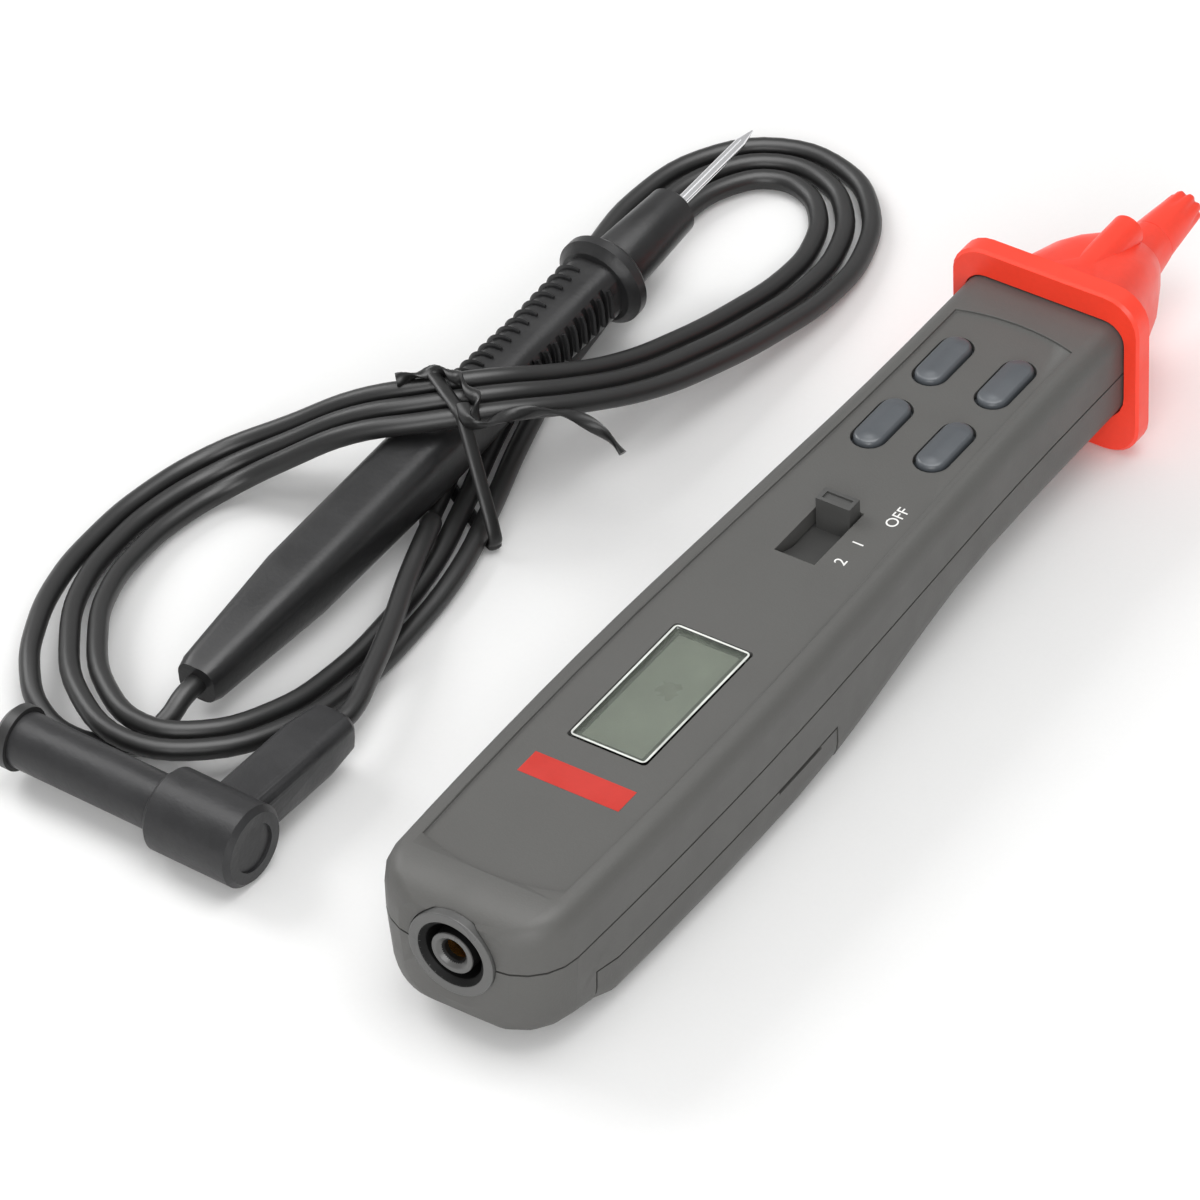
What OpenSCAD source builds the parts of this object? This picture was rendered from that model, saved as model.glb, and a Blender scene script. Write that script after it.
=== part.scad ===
// Pen multimeter with its common test lead.
// The meter lies along Y, display up: the red probe points to +Y and the lead socket to -Y.
// Origin: middle of the meter's length and width, on the surface that it lies on.

/* [Meter] */
// Length from the socket's face to the tip of the probe cap
overall_l = 238; // [200:1:290]
// Width of the case at the batteries
case_w = 38.4; // [34:0.2:46]
// Width of the case behind the finger guard
neck_w = 32.4; // [29:0.2:38]
// Height of the case at the batteries
case_h = 29; // [25:0.5:36]
// Rise of the underside from the batteries to the slim end
belly_rise = 7.2; // [4:0.2:9]
// Thickness of the case walls
wall = 2; // [1.4:0.1:2.6]
// Radius of the long edges of the top
top_edge_r = 4; // [2:0.5:5]
// Radius of the long edges of the underside
low_edge_r = 6; // [3:0.5:7]
// Radius of the tail's corners, seen from above
tail_r = 10; // [6:0.5:13]
// Height of the joint between the two case halves
parting_z = 18.8; // [17:0.1:20]

/* [Keypad and switch] */
// Length of a key's opening
key_l = 15; // [11:0.5:17]
// Width of a key's opening
key_w = 6.7; // [5:0.1:8]
// Distance between the two columns of keys
key_pitch_x = 12.8; // [11:0.1:14]
// Travel of a key
key_travel = 0.6; // [0.3:0.1:0.9]
// Height of the keys above the panel
key_proud = 1.2; // [0.6:0.1:2]
// Length of the switch's slot
slot_l = 16; // [12:0.5:18]
// Width of the switch's slot
slot_w = 8.1; // [6:0.1:10]
// Distance between two switch positions
switch_step = 5.6; // [4:0.1:6]
// Height of the switch knob above the panel
knob_proud = 3; // [1.5:0.1:4]

/* [Display] */
// Length of the clear window
window_l = 33.8; // [26:0.2:38]
// Width of the clear window
window_w = 15.9; // [13:0.1:18]
// Thickness of the clear window
window_t = 1.4; // [1:0.1:1.8]

/* [Battery bay] */
// Length of the battery cover
cover_l = 74; // [62:0.5:80]
// Height of the battery cover's sides
cover_h = 10.5; // [8:0.5:11.5]
// Diameter of a battery
cell_d = 10.5; // [8:0.1:10.8]
// Length of a battery
cell_l = 44.5; // [30:0.5:50]

/* [Socket] */
// Bore of the socket's contact
jack_bore = 4.1; // [3.6:0.1:4.6]
// Outer diameter of the groove round the socket's post
jack_groove_d = 11.2; // [10.6:0.1:12]
// Diameter of the socket's post
jack_post_d = 8.2; // [7.6:0.1:8.6]
// Diameter of the socket's collar
jack_collar_d = 16.8; // [15:0.1:18]
// Length of the socket
jack_l = 16; // [14:0.5:18]

/* [Nose] */
// Length from the back of the finger guard to the tip of the cap
nose_l = 50; // [44:0.5:60]
// Width of the finger guard
guard_w = 38.6; // [36:0.2:44]
// Height of the finger guard
guard_h = 34.6; // [31:0.2:40]
// Thickness of the finger guard
guard_t = 5.2; // [4:0.2:7]
// Length of the probe cap
cap_l = 13; // [10:0.5:18]
// Diameter of the probe pin
pin_d = 2.4; // [1.6:0.1:3]
// Height of the probe's axis
probe_z = 17; // [15:0.1:18.5]

/* [Test lead] */
// Diameter of the lead
lead_d = 3.8; // [3:0.1:4.4]
// Length of the probe's handle without its pin
handle_l = 146; // [130:1:170]
// Diameter of the probe's finger guard
ring_d = 18; // [16:0.5:20]
// Outer diameter of the plug's shroud
shroud_d = 10.4; // [10:0.1:10.8]
// Diameter of the plug's pin
plug_pin_d = 4; // [3.5:0.1:4]

/* [Hidden] */

// Clearances and small shared sizes
fit_gap = 0.15;
seat_gap = 0.3;
press_gap = 0.05;
cut = 1;
eps = 0.02;
smooth = 48;
arc_steps = 6;

// Stations along the meter
tail_y = -overall_l / 2;
tip_y = overall_l / 2;
guard_y = tip_y - nose_l;
guard_pocket = 1.5;
case_end_y = guard_y + guard_pocket;
jack_proud = 0.6;
case_y = tail_y + jack_proud;
body_l = guard_y - case_y;

// Where things sit along the case, as shares of its length from the tail
widest_share = 0.31;
neck_share = 0.90;
belly_end_shares = [0.40, 0.76];
window_share = 0.337;
switch_share = 0.603;
key_shares = [0.766, 0.874];
panel_shares = [0.055, 0.955];
cover_share = 0.08;

// Half the drop in width at the tail
tail_pull = 1.4;
panel_depth = 0.5;
panel_margin = 4.2;
panel_z = case_h - panel_depth;
roof_z = case_h - wall;

function along(share) = case_y + share * body_l;
function ease(t) = let (u = min(1, max(0, t))) (1 - cos(180 * u)) / 2;

// Half width of the case, before the tail's rounding
function half_w(y) =
    let (wide_y = along(widest_share), neck_y = along(neck_share))
    y < wide_y
        ? case_w / 2 - tail_pull * pow((wide_y - y) / (wide_y - case_y), 2)
        : case_w / 2 - (case_w - neck_w) / 2 * ease((y - wide_y) / (neck_y - wide_y));

// Height of the underside
function under_z(y) =
    let (a = along(belly_end_shares[0]), b = along(belly_end_shares[1]))
    belly_rise * ease((y - a) / (b - a));

// How far the tail's rounding has grown, from 0 at the end wall to 1
function tail_grow(y) = let (d = min(tail_r, y - case_y)) sqrt(1 - pow(1 - d / tail_r, 2));

function arc(cx, cz, r, a, b, n) =
    [for (i = [0:n]) let (t = a + (b - a) * i / n) [cx + r * cos(t), cz + r * sin(t)]];

// Outline of a section: counter-clockwise seen from the tail
function section(hw, z0, z1, rt, rb, n = arc_steps) = concat(
    arc(hw - rb, z0 + rb, rb, -90, 0, n),
    arc(hw - rt, z1 - rt, rt, 0, 90, n),
    arc(-hw + rt, z1 - rt, rt, 90, 180, n),
    arc(-hw + rb, z0 + rb, rb, 180, 270, n)
);

// A closed skin over sections of equal length; ys holds each section's place
module skin(ys, rings) {
    n = len(rings[0]);
    m = len(ys);
    pts = [for (i = [0:m - 1]) for (p = rings[i]) [p[0], ys[i], p[1]]];
    sides = [
        for (i = [0:m - 2]) for (j = [0:n - 1]) let (k = (j + 1) % n)
            each [[i * n + j, i * n + k, (i + 1) * n + k], [i * n + j, (i + 1) * n + k, (i + 1) * n + j]]
    ];
    ends = [[for (j = [n - 1:-1:0]) j], [for (j = [0:n - 1]) (m - 1) * n + j]];
    polyhedron(points = pts, faces = concat(sides, ends), convexity = 6);
}

// Stations of the case: close together round the tail, then along the body
tail_steps = 5;
body_steps = 16;
case_ys = concat(
    [for (i = [0:tail_steps]) case_y + tail_r * (1 - cos(90 * i / tail_steps))],
    [for (i = [1:body_steps]) case_y + tail_r + (body_l - tail_r) * i / body_steps],
    [case_end_y]
);
tail_drop = 4.5;
tail_lift = 8;

function case_section(y) =
    let (g = tail_grow(y), hw = half_w(y) - tail_r * (1 - g))
    section(hw, under_z(y) + tail_lift * (1 - g), case_h - tail_drop * (1 - g), top_edge_r, low_edge_r);

module case_solid() skin(case_ys, [for (y = case_ys) case_section(y)]);

// Plan of the space inside the case, inset from its outline
function inner_hw(y, inset) = half_w(y) - inset;
module inner_plan(y0, y1, inset, z0, z1) {
    n = 10;
    ys = [for (i = [0:n]) y0 + (y1 - y0) * i / n];
    translate([0, 0, z0])
        linear_extrude(z1 - z0)
            polygon(concat(
                [for (y = ys) [inner_hw(y, inset), y]],
                [for (i = [n:-1:0]) [-inner_hw(ys[i], inset), ys[i]]]
            ));
}

// Everything above a line that follows the underside
module over_belly(y0, y1, rise, z1) {
    n = 12;
    ys = [for (i = [0:n]) y0 + (y1 - y0) * i / n];
    rotate([90, 0, 90])
        linear_extrude(case_w + 2 * cut, center = true)
            polygon(concat([for (y = ys) [y, under_z(y) + rise]], [[y1, z1], [y0, z1]]));
}

// A block between two corners
module block(a, b) {
    translate(a) cube([b[0] - a[0], b[1] - a[1], b[2] - a[2]]);
}

// A cylinder along Y from y0 to y1
module rod(y0, y1, r, z = 0, x = 0, r2 = undef) {
    translate([x, y0, z]) rotate([-90, 0, 0])
        cylinder(h = y1 - y0, r1 = r, r2 = is_undef(r2) ? r : r2, $fn = smooth);
}

// A slot shape with round ends along Y, standing on z = 0
module stadium(l, w, h) {
    for (s = [-1, 1]) translate([0, s * (l - w) / 2, 0]) cylinder(h = h, d = w, $fn = smooth);
    translate([-w / 2, -(l - w) / 2, 0]) cube([w, l - w, h]);
}

// A block with rounded upright edges
module round_block(a, b, r) {
    for (x = [a[0] + r, b[0] - r], y = [a[1] + r, b[1] - r])
        translate([x, y, a[2]]) cylinder(h = b[2] - a[2], r = r, $fn = smooth);
    block([a[0] + r, a[1], a[2]], [b[0] - r, b[1], b[2]]);
    block([a[0], a[1] + r, a[2]], [b[0], b[1] - r, b[2]]);
}

// Display: places
window_y = along(window_share);
ledge_w = 1.2;
window_z = panel_z - window_t;
ledge_t = 1.2;
rim_z = window_z - ledge_t;
rim_w = 1.6;
// Circuit board
board_t = 1.6;
board_rise = 1.4;
board_z = parting_z + board_rise;
board_top = board_z + board_t;
board_tail_gap = 2;
board_nose_gap = 8;
board_side_gap = 1.2;
board_y0 = tail_y + jack_l + board_tail_gap;
board_y1 = guard_y - board_nose_gap;
board_inset = wall + board_side_gap;
// Keys
key_rows = [along(key_shares[0]), along(key_shares[1])];
key_gap = 0.35;
key_lip = 1;
key_lip_t = 1.2;
key_top = panel_z + key_proud;
key_lip_z = roof_z - seat_gap - key_lip_t;
mat_t = 0.8;
// Switch
slot_y = along(switch_share);
slot_y0 = slot_y - slot_l / 2;
slot_y1 = slot_y + slot_l / 2;
knob_l = 3.4;
knob_side_gap = 0.6;
knob_w = slot_w - 2 * knob_side_gap;
knob_y = slot_y1 - knob_l / 2 - seat_gap;
switch_travel = 2 * switch_step;
carriage_t = 1.6;
carriage_lap = 1.5;
carriage_over = 0.8;
carriage_w = slot_w + 2 * carriage_lap;
skirt_t = 1;
skirt_depth = 3.4;
skirt_z = panel_z - skirt_depth;
carriage_z = skirt_z - seat_gap - carriage_t;
carriage_y0 = slot_y0 - carriage_over;
carriage_y1 = slot_y1 + switch_travel + carriage_over;

// Battery bay
cover_y0 = along(cover_share);
cover_y1 = cover_y0 + cover_l;
bay_roof_t = 1.4;
cover_wall = 1.6;
cell_head_gap = 1;
cell_side_gap = 0.6;
cell_z = cover_wall + seat_gap + cell_d / 2;
cell_x = cell_d / 2 + cell_side_gap;
bay_roof_z = cell_z + cell_d / 2 + cell_head_gap;
// Faces of the contact plates: a cell and its spring fit between them
bay_end_gap = 6;
plate_y0 = cover_y0 + bay_end_gap;
spring_l = 4;
plate_y1 = plate_y0 + cell_l + spring_l;
plate_t = 0.4;
cradle_t = 1.5;

// Socket
jack_z = parting_z;
jack_body_wall = 1.3;
jack_body_d = jack_groove_d + 2 * jack_body_wall;
jack_collar_t = 1.8;
contact_wall = 0.8;
contact_d = jack_bore + 2 * contact_wall;

// Screws
screw_d = 2.6;
screw_head_d = 5;
screw_head_h = 1.8;
boss_d = 6.4;
slim_screw_y = (key_rows[0] + key_rows[1]) / 2;
bay_screw_inset = 5.6;
bay_screw_back = 7;
board_screw_inset = 5;
board_screw_gap = 9;
bay_screw_x = case_w / 2 - bay_screw_inset;
bay_screw_y = cover_y1 - bay_screw_back;
board_screw_x = neck_w / 2 - board_screw_inset;
board_screw_y = window_y + window_l / 2 + board_screw_gap;

// Recess of the panel, with an arc at each end
panel_end_r = 40;
module panel_recess() {
    y0 = along(panel_shares[0]);
    y1 = along(panel_shares[1]);
    intersection() {
        inner_plan(y0 - cut, y1 + cut, panel_margin, panel_z, case_h + cut);
        union() {
            for (y = [y0 + panel_end_r, y1 - panel_end_r]) translate([0, y, panel_z - cut])
                cylinder(h = 4 * cut, r = panel_end_r, $fn = 2 * smooth);
            block([-case_w, y0 + panel_end_r, panel_z - cut], [case_w, y1 - panel_end_r, panel_z + 4 * cut]);
        }
    }
}

// Upper case half: a shell with the window, the keys' openings and the switch's slot
module top_case() {
    color([0.2, 0.2, 0.2]) difference() {
        intersection() {
            case_solid();
            block([-case_w, case_y - cut, parting_z], [case_w, case_end_y + cut, case_h + cut]);
        }
        difference() {
            inner_plan(case_y + wall, case_end_y + cut, wall, parting_z - cut, roof_z);
            block([-case_w, case_y, parting_z - 2 * cut],
                  [case_w, case_y + wall + tail_wall, case_h]);
            window_rim();
            slot_skirt();
        }
        panel_recess();
        jack_seat();
        // Window with a ledge that carries it
        round_block([-window_w / 2, window_y - window_l / 2, window_z],
                    [window_w / 2, window_y + window_l / 2, case_h + cut], window_r);
        block([ledge_w - window_w / 2, window_y - window_l / 2 + ledge_w, rim_z - cut],
              [window_w / 2 - ledge_w, window_y + window_l / 2 - ledge_w, case_h]);
        for (x = [-1, 1], y = key_rows)
            translate([x * key_pitch_x / 2, y, roof_z - cut]) stadium(key_l, key_w, 4 * cut);
        block([-slot_w / 2, slot_y0, skirt_z - cut], [slot_w / 2, slot_y1, case_h + cut]);
    }
    // Bosses for the screws
    color([0.2, 0.2, 0.2]) for (p = concat(screw_places, board_screw_places))
        translate([p[0], p[1], board_top]) difference() {
            cylinder(h = roof_z - board_top + eps, d = boss_d, $fn = smooth);
            translate([0, 0, -cut]) cylinder(h = roof_z - board_top, d = screw_d, $fn = smooth);
        }
}

// Rim under the window, and a skirt along each side of the switch's slot
module window_rim() {
    w = window_w / 2 + rim_w;
    l = window_l / 2 + rim_w;
    block([-w, window_y - l, rim_z], [w, window_y + l, case_h]);
}
module slot_skirt() {
    block([-slot_w / 2 - skirt_t, slot_y0, skirt_z],
          [slot_w / 2 + skirt_t, slot_y1 + skirt_t, case_h]);
}

// Lower case half: open below for the batteries, with a roof over them
module bottom_case() {
    color([0.19, 0.19, 0.19]) difference() {
        intersection() {
            case_solid();
            block([-case_w, case_y - cut, -cut], [case_w, case_end_y + cut, parting_z]);
        }
        difference() {
            union() {
                intersection() {
                    inner_plan(case_y + wall, case_end_y + cut, wall, 0, parting_z + cut);
                    over_belly(case_y, case_end_y + 2 * cut, low_edge_r + wall / 2, parting_z + 2 * cut);
                }
                intersection() {
                    inner_plan(case_y + wall, case_end_y + cut, low_edge_r - wall / 2, 0, parting_z + cut);
                    over_belly(case_y, case_end_y + 2 * cut, wall, parting_z + 2 * cut);
                }
            }
            block([-case_w, case_y, -cut], [case_w, case_y + wall + tail_wall, parting_z + 2 * cut]);
            // Roof and end walls of the battery bay
            block([-case_w, cover_y0 - wall, 0], [case_w, cover_y1 + wall, bay_roof_z + bay_roof_t]);
        }
        // Room for the batteries and the opening that the cover closes
        intersection() {
            inner_plan(cover_y0, cover_y1, wall, 0, bay_roof_z);
            block([-case_w, cover_y0 + wall, 0], [case_w, cover_y1 - wall, bay_roof_z]);
        }
        block([-case_w, cover_y0, -cut], [case_w, cover_y1, cover_h]);
        joint_line();
        jack_seat();
        // Way of the slim end's screw
        translate([0, slim_screw_y, 0]) cylinder(h = slim_seat_z, d = screw_head_d + 2 * fit_gap, $fn = smooth);
        for (p = screw_places) translate([p[0], p[1], 0])
            cylinder(h = board_z, d = screw_d + 2 * fit_gap, $fn = smooth);
    }
    // Posts that carry the circuit board; the slim end's screw head sits in a well
    color([0.19, 0.19, 0.19]) for (p = screw_places)
        translate([p[0], p[1], 0]) difference() {
            post_z = p[0] == 0 ? under_z(p[1]) + wall / 2 : p[2] + bay_roof_t - eps;
            translate([0, 0, post_z]) cylinder(h = board_z - post_z, d = boss_d, $fn = smooth);
            cylinder(h = board_z + cut, d = screw_d + 2 * fit_gap, $fn = smooth);
            cylinder(h = p[2], d = screw_head_d + 2 * fit_gap, $fn = smooth);
        }
    // Partitions at the ends of the batteries
    color([0.19, 0.19, 0.19]) for (y = [plate_y0 - plate_t - cradle_t, plate_y1 + plate_t])
        block([-cell_x - cell_d / 2, y, cover_wall + 2 * seat_gap],
              [cell_x + cell_d / 2, y + cradle_t, bay_roof_z + eps]);
}

tail_wall = 4.5;
line_h = 0.35;
line_depth = 0.5;
module joint_line() {
    translate([0, 0, parting_z - line_h]) difference() {
        block([-case_w, case_y - cut, 0], [case_w, case_end_y + 2 * cut, line_h + cut]);
        translate([0, 0, -cut]) linear_extrude(line_h + 3 * cut) offset(delta = -line_depth)
            polygon(concat(
                [for (y = case_ys) [half_w(y) - tail_r * (1 - tail_grow(y)), y]],
                [[neck_w / 2, case_end_y + 2 * line_depth + cut], [-neck_w / 2, case_end_y + 2 * line_depth + cut]],
                [for (i = [len(case_ys) - 1:-1:0]) let (y = case_ys[i])
                    [tail_r * (1 - tail_grow(y)) - half_w(y), y]]
            ));
    }
}
window_r = 0.8;
// Case screws: x, y and the height of the seat under each head
slim_head_well = 3.4;
slim_seat_z = under_z(slim_screw_y) + slim_head_well;
screw_places = [
    [0, slim_screw_y, slim_seat_z],
    [bay_screw_x, bay_screw_y, bay_roof_z],
    [-bay_screw_x, bay_screw_y, bay_roof_z]
];
board_screw_places = [for (s = [-1, 1]) [s * board_screw_x, board_screw_y]];

// The room that the socket takes in the tail's end wall
module jack_seat() {
    rod(case_y - cut, case_y + jack_collar_t - jack_proud, jack_collar_d / 2 + fit_gap, jack_z);
    rod(case_y - cut, tail_y + jack_l + cut, jack_body_d / 2 + fit_gap, jack_z);
}

// Battery cover: a tray that closes the underside, with a finger notch in each side
module battery_cover() {
    y0 = cover_y0 + fit_gap;
    y1 = cover_y1 - fit_gap;
    color([0.19, 0.19, 0.19]) difference() {
        intersection() {
            case_solid();
            block([-case_w, y0, -cut], [case_w, y1, cover_h - fit_gap]);
        }
        intersection() {
            inner_plan(y0 + cover_wall, y1 - cover_wall, cover_wall, 0, cover_h + cut);
            over_belly(y0, y1, low_edge_r, cover_h + 2 * cut);
        }
        intersection() {
            inner_plan(y0 + cover_wall, y1 - cover_wall, low_edge_r - cover_wall / 2, 0, cover_h + cut);
            over_belly(y0, y1, cover_wall, cover_h + 2 * cut);
        }
        block([-case_w, cover_y1 - notch_back - notch_l, cover_h - fit_gap - notch_h],
              [case_w, cover_y1 - notch_back, cover_h + cut]);
    }
    // Tongues that stand inside the case's side walls and keep the cover in line
    color([0.19, 0.19, 0.19]) for (side = [0, 1], y = tongue_ys)
        mirror([side, 0, 0]) translate([inner_hw(y, wall) - seat_gap, y + tongue_l / 2, tongue_z])
            rotate([90, 0, 0]) linear_extrude(tongue_l) polygon([
                [wall / 2 + seat_gap, 0], [wall / 2 + seat_gap, tongue_foot], [0, tongue_foot],
                [0, tongue_h], [-cover_wall, tongue_h], [-cover_wall, 0]
            ]);
}
notch_back = 5.5;
notch_l = 13.5;
notch_h = 0.9;
tongue_l = 6;
tongue_low = 3;
tongue_z = cover_h - tongue_low;
tongue_foot = 2.4;
tongue_h = bay_roof_z - seat_gap - tongue_z;
tongue_tail_gap = 6;
tongue_nose_gap = 26;
tongue_ys = [cover_y0 + tongue_tail_gap, cover_y1 - tongue_nose_gap];

// Clear window over the display
window_proud = 0.1;
module display_window() {
    g = fit_gap;
    color([0.8, 0.85, 0.85, 0.4]) round_block(
        [g - window_w / 2, window_y - window_l / 2 + g, window_z],
        [window_w / 2 - g, window_y + window_l / 2 - g, panel_z + window_proud], window_r - g);
}

// Liquid crystal panel, its frame and the rubber strips that join it to the board
lcd_t = 2.4;
lcd_margin = 0.8;
lcd_top = rim_z - seat_gap;
lcd_z = lcd_top - lcd_t;
lcd_w = window_w + 2 * lcd_margin;
lcd_l = window_l + 2 * lcd_margin;
frame_w = 1.2;
strip_w = 1.8;

module display_panel() {
    color([0.62, 0.66, 0.58])
        block([-lcd_w / 2, window_y - lcd_l / 2, lcd_z], [lcd_w / 2, window_y + lcd_l / 2, lcd_top]);
}

module display_frame() {
    a = lcd_w / 2 + fit_gap;
    b = lcd_l / 2 + fit_gap;
    color([0.85, 0.85, 0.82]) difference() {
        block([-a - frame_w, window_y - b - frame_w, board_top],
              [a + frame_w, window_y + b + frame_w, lcd_top - seat_gap]);
        block([-a, window_y - b, board_top - cut], [a, window_y + b, lcd_top + cut]);
    }
}

module contact_strips() {
    color([0.85, 0.5, 0.6]) for (s = [-1, 1])
        translate([s * (lcd_w / 2 - strip_w), window_y, board_top])
            translate([-strip_w / 2, -lcd_l / 2 + lcd_margin, 0])
                cube([strip_w, lcd_l - 2 * lcd_margin, lcd_z - board_top]);
}

// Circuit board with its screw holes
module circuit_board() {
    color([0.1, 0.35, 0.2]) difference() {
        inner_plan(board_y0, board_y1, board_inset, board_z, board_top);
        for (p = concat(screw_places, board_screw_places)) translate([p[0], p[1], board_z - cut])
            cylinder(h = board_t + 2 * cut, d = screw_d + 2 * fit_gap, $fn = smooth);
    }
}

// Stadium whose top edge is drawn in by a chamfer
module soft_stadium(l, w, h, c) {
    stadium(l, w, h - c);
    for (s = [-1, 1]) translate([0, s * (l - w) / 2, h - c])
        cylinder(h = c, d1 = w, d2 = w - 2 * c, $fn = smooth);
    translate([0, (l - w) / 2, h - c]) rotate([90, 0, 0])
        linear_extrude(l - w) polygon([[-w / 2, 0], [w / 2, 0], [w / 2 - c, c], [c - w / 2, c]]);
}

// One key: a cap that shows, over a lip that keeps it in the case
module key(column, row) {
    color([0.29, 0.31, 0.34])
        translate([column * key_pitch_x / 2, key_rows[row], key_lip_z]) {
            stadium(key_l + 2 * key_lip, key_w + 2 * key_lip, key_lip_t);
            soft_stadium(key_l - 2 * key_gap, key_w - 2 * key_gap, key_top - key_lip_z, key_chamfer);
        }
}
key_chamfer = 0.5;
module key_front_left() key(-1, 1);
module key_front_right() key(1, 1);
module key_rear_left() key(-1, 0);
module key_rear_right() key(1, 0);

// Rubber mat with a dome under each key
dome_d = 4.6;
dome_top_share = 0.7;
mat_margin = 2;
module keypad_mat() {
    x = key_pitch_x / 2 + key_w / 2 + mat_margin - key_lip;
    dome_top = key_lip_z - key_travel - fit_gap;
    color([0.5, 0.5, 0.5]) {
        difference() {
            block([-x, key_rows[0] - key_l / 2 - mat_margin / 2, board_top],
                  [x, key_rows[1] + key_l / 2 + mat_margin / 2, board_top + mat_t]);
            translate([0, slim_screw_y, board_top - cut])
                cylinder(h = mat_t + 2 * cut, d = boss_d + 2 * fit_gap, $fn = smooth);
        }
        for (s = [-1, 1], y = key_rows) translate([s * key_pitch_x / 2, y, board_top + mat_t - eps])
            cylinder(h = dome_top - board_top - mat_t + eps, d1 = dome_d, d2 = dome_d * dome_top_share, $fn = smooth);
    }
}

// Switch knob: a grip on a carriage that closes the slot from below.
// The carriage rises in a hollow ramp from the grip to its tail end.
ramp_r = 24;
ramp_gap = 0.4;
grip_rim = 0.8;
grip_dish = 0.4;
grip_foot = 1.2;
module switch_knob() {
    top = carriage_z + carriage_t;
    ramp_w = slot_w - 2 * ramp_gap;
    ramp_top = roof_z - seat_gap;
    ramp_y1 = knob_y - knob_l / 2 + eps;
    color([0.22, 0.22, 0.22]) {
        block([-carriage_w / 2, carriage_y0, carriage_z], [carriage_w / 2, carriage_y1, top]);
        difference() {
            block([-ramp_w / 2, carriage_y0, top - eps], [ramp_w / 2, ramp_y1, ramp_top]);
            translate([-case_w / 2, ramp_y1 - grip_foot, top + ramp_r]) rotate([0, 90, 0])
                cylinder(h = case_w, r = ramp_r, $fn = 2 * smooth);
            block([-case_w / 2, ramp_y1 - grip_foot, top], [case_w / 2, ramp_y1 + cut, case_h]);
        }
        difference() {
            block([-knob_w / 2, knob_y - knob_l / 2, top - eps],
                  [knob_w / 2, knob_y + knob_l / 2, panel_z + knob_proud]);
            block([grip_rim - knob_w / 2, knob_y - knob_l / 2 + grip_rim, panel_z + knob_proud - grip_dish],
                  [knob_w / 2 - grip_rim, knob_y + knob_l / 2 - grip_rim, panel_z + knob_proud + cut]);
        }
    }
}

// Spring contact under the carriage: two bent leaves that sweep the board
leaf_t = 0.3;
leaf_w = 1.4;
leaf_l = 9;
leaf_x = 2.4;
module switch_wiper() {
    h = carriage_z - board_top;
    color([0.85, 0.68, 0.3]) for (s = [-1, 1])
        translate([s * leaf_x - leaf_w / 2, knob_y, board_top + eps]) rotate([90, 0, 90])
            linear_extrude(leaf_w) polygon([
                [-leaf_l / 2, h - eps], [leaf_l / 2, h - eps], [leaf_l / 2, h - leaf_t],
                [leaf_l / 4, h - leaf_t], [leaf_t, leaf_t], [leaf_t, 0], [-leaf_t, 0], [-leaf_t, leaf_t],
                [-leaf_l / 4, h - leaf_t], [-leaf_l / 2, h - leaf_t]
            ]);
}

// Socket for the lead: a shrouded post in a round housing with a collar
mouth_flare = 1;
post_step = 0.4;
post_lip = 2.4;
groove_floor = 2;
post_bore_gap = 0.1;
module jack_housing() {
    g = jack_groove_d / 2;
    p = jack_post_d / 2;
    y0 = tail_y;
    y1 = tail_y + jack_l;
    color([0.16, 0.16, 0.16]) {
        difference() {
            union() {
                rod(y0, y0 + jack_collar_t, jack_collar_d / 2, jack_z);
                rod(y0, y1, jack_body_d / 2, jack_z);
            }
            rod(y0 - cut, y1 - groove_floor, g, jack_z);
            rod(y0 - eps, y0 + mouth_flare, g + mouth_flare, jack_z, 0, g);
            rod(y0, y1 + cut, contact_d / 2 + press_gap, jack_z);
        }
        difference() {
            rod(y0 + post_step, y1 - groove_floor + eps, p, jack_z);
            rod(y0 + post_lip, y1, contact_d / 2 + press_gap, jack_z);
            rod(y0, y0 + post_lip + cut, jack_bore / 2 + post_bore_gap, jack_z);
            rod(y0 + post_step - eps, y0 + post_step + mouth_flare, jack_bore / 2 + post_bore_gap + mouth_flare, jack_z, 0,
                jack_bore / 2 + post_bore_gap);
        }
    }
}

// Brass sleeve in the post, with a tab up to the board
tab_w = 3;
tab_reach = 2;
module jack_contact() {
    y0 = tail_y + post_lip;
    y1 = board_y0 + tab_reach;
    color([0.85, 0.68, 0.3]) difference() {
        union() {
            rod(y0, tail_y + jack_l + cut, contact_d / 2, jack_z);
            block([-tab_w / 2, tail_y + jack_l + fit_gap, jack_z], [tab_w / 2, tail_y + jack_l + cut, board_z]);
            block([-tab_w / 2, tail_y + jack_l + fit_gap, board_z - plate_t], [tab_w / 2, y1, board_z]);
        }
        rod(y0 - cut, tail_y + jack_l + 2 * cut, jack_bore / 2, jack_z);
    }
}

// Nose: finger guard, hollow cone and torch boss in one moulding.
// Stations as shares of the nose's length; at each, shares of the guard's half sizes and corner radius.
cone_shares = [0.104, 0.38, 0.48, 0.58, 0.60, 0.74];
cone_w_shares = [0.653, 0.539, 0.477, 0.358, 0.295, 0.238];
cone_down_shares = [0.717, 0.566, 0.486, 0.382, 0.329, 0.266];
cone_up_shares = [0.74, 0.59, 0.497, 0.393, 0.329, 0.266];
cone_r_shares = [0.77, 0.77, 0.77, 0.77, 0.86, 0.69];
guard_r = 6.5;
guard_soft = 1.2;
spigot_l = 4;
torch_rise = 8.2;
torch_z = probe_z + torch_rise;
torch_r = 3.2;
lamp_r = 1.5;
cap_y = tip_y - cap_l;
neck_r = 3;
neck_l = 2.6;

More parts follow.
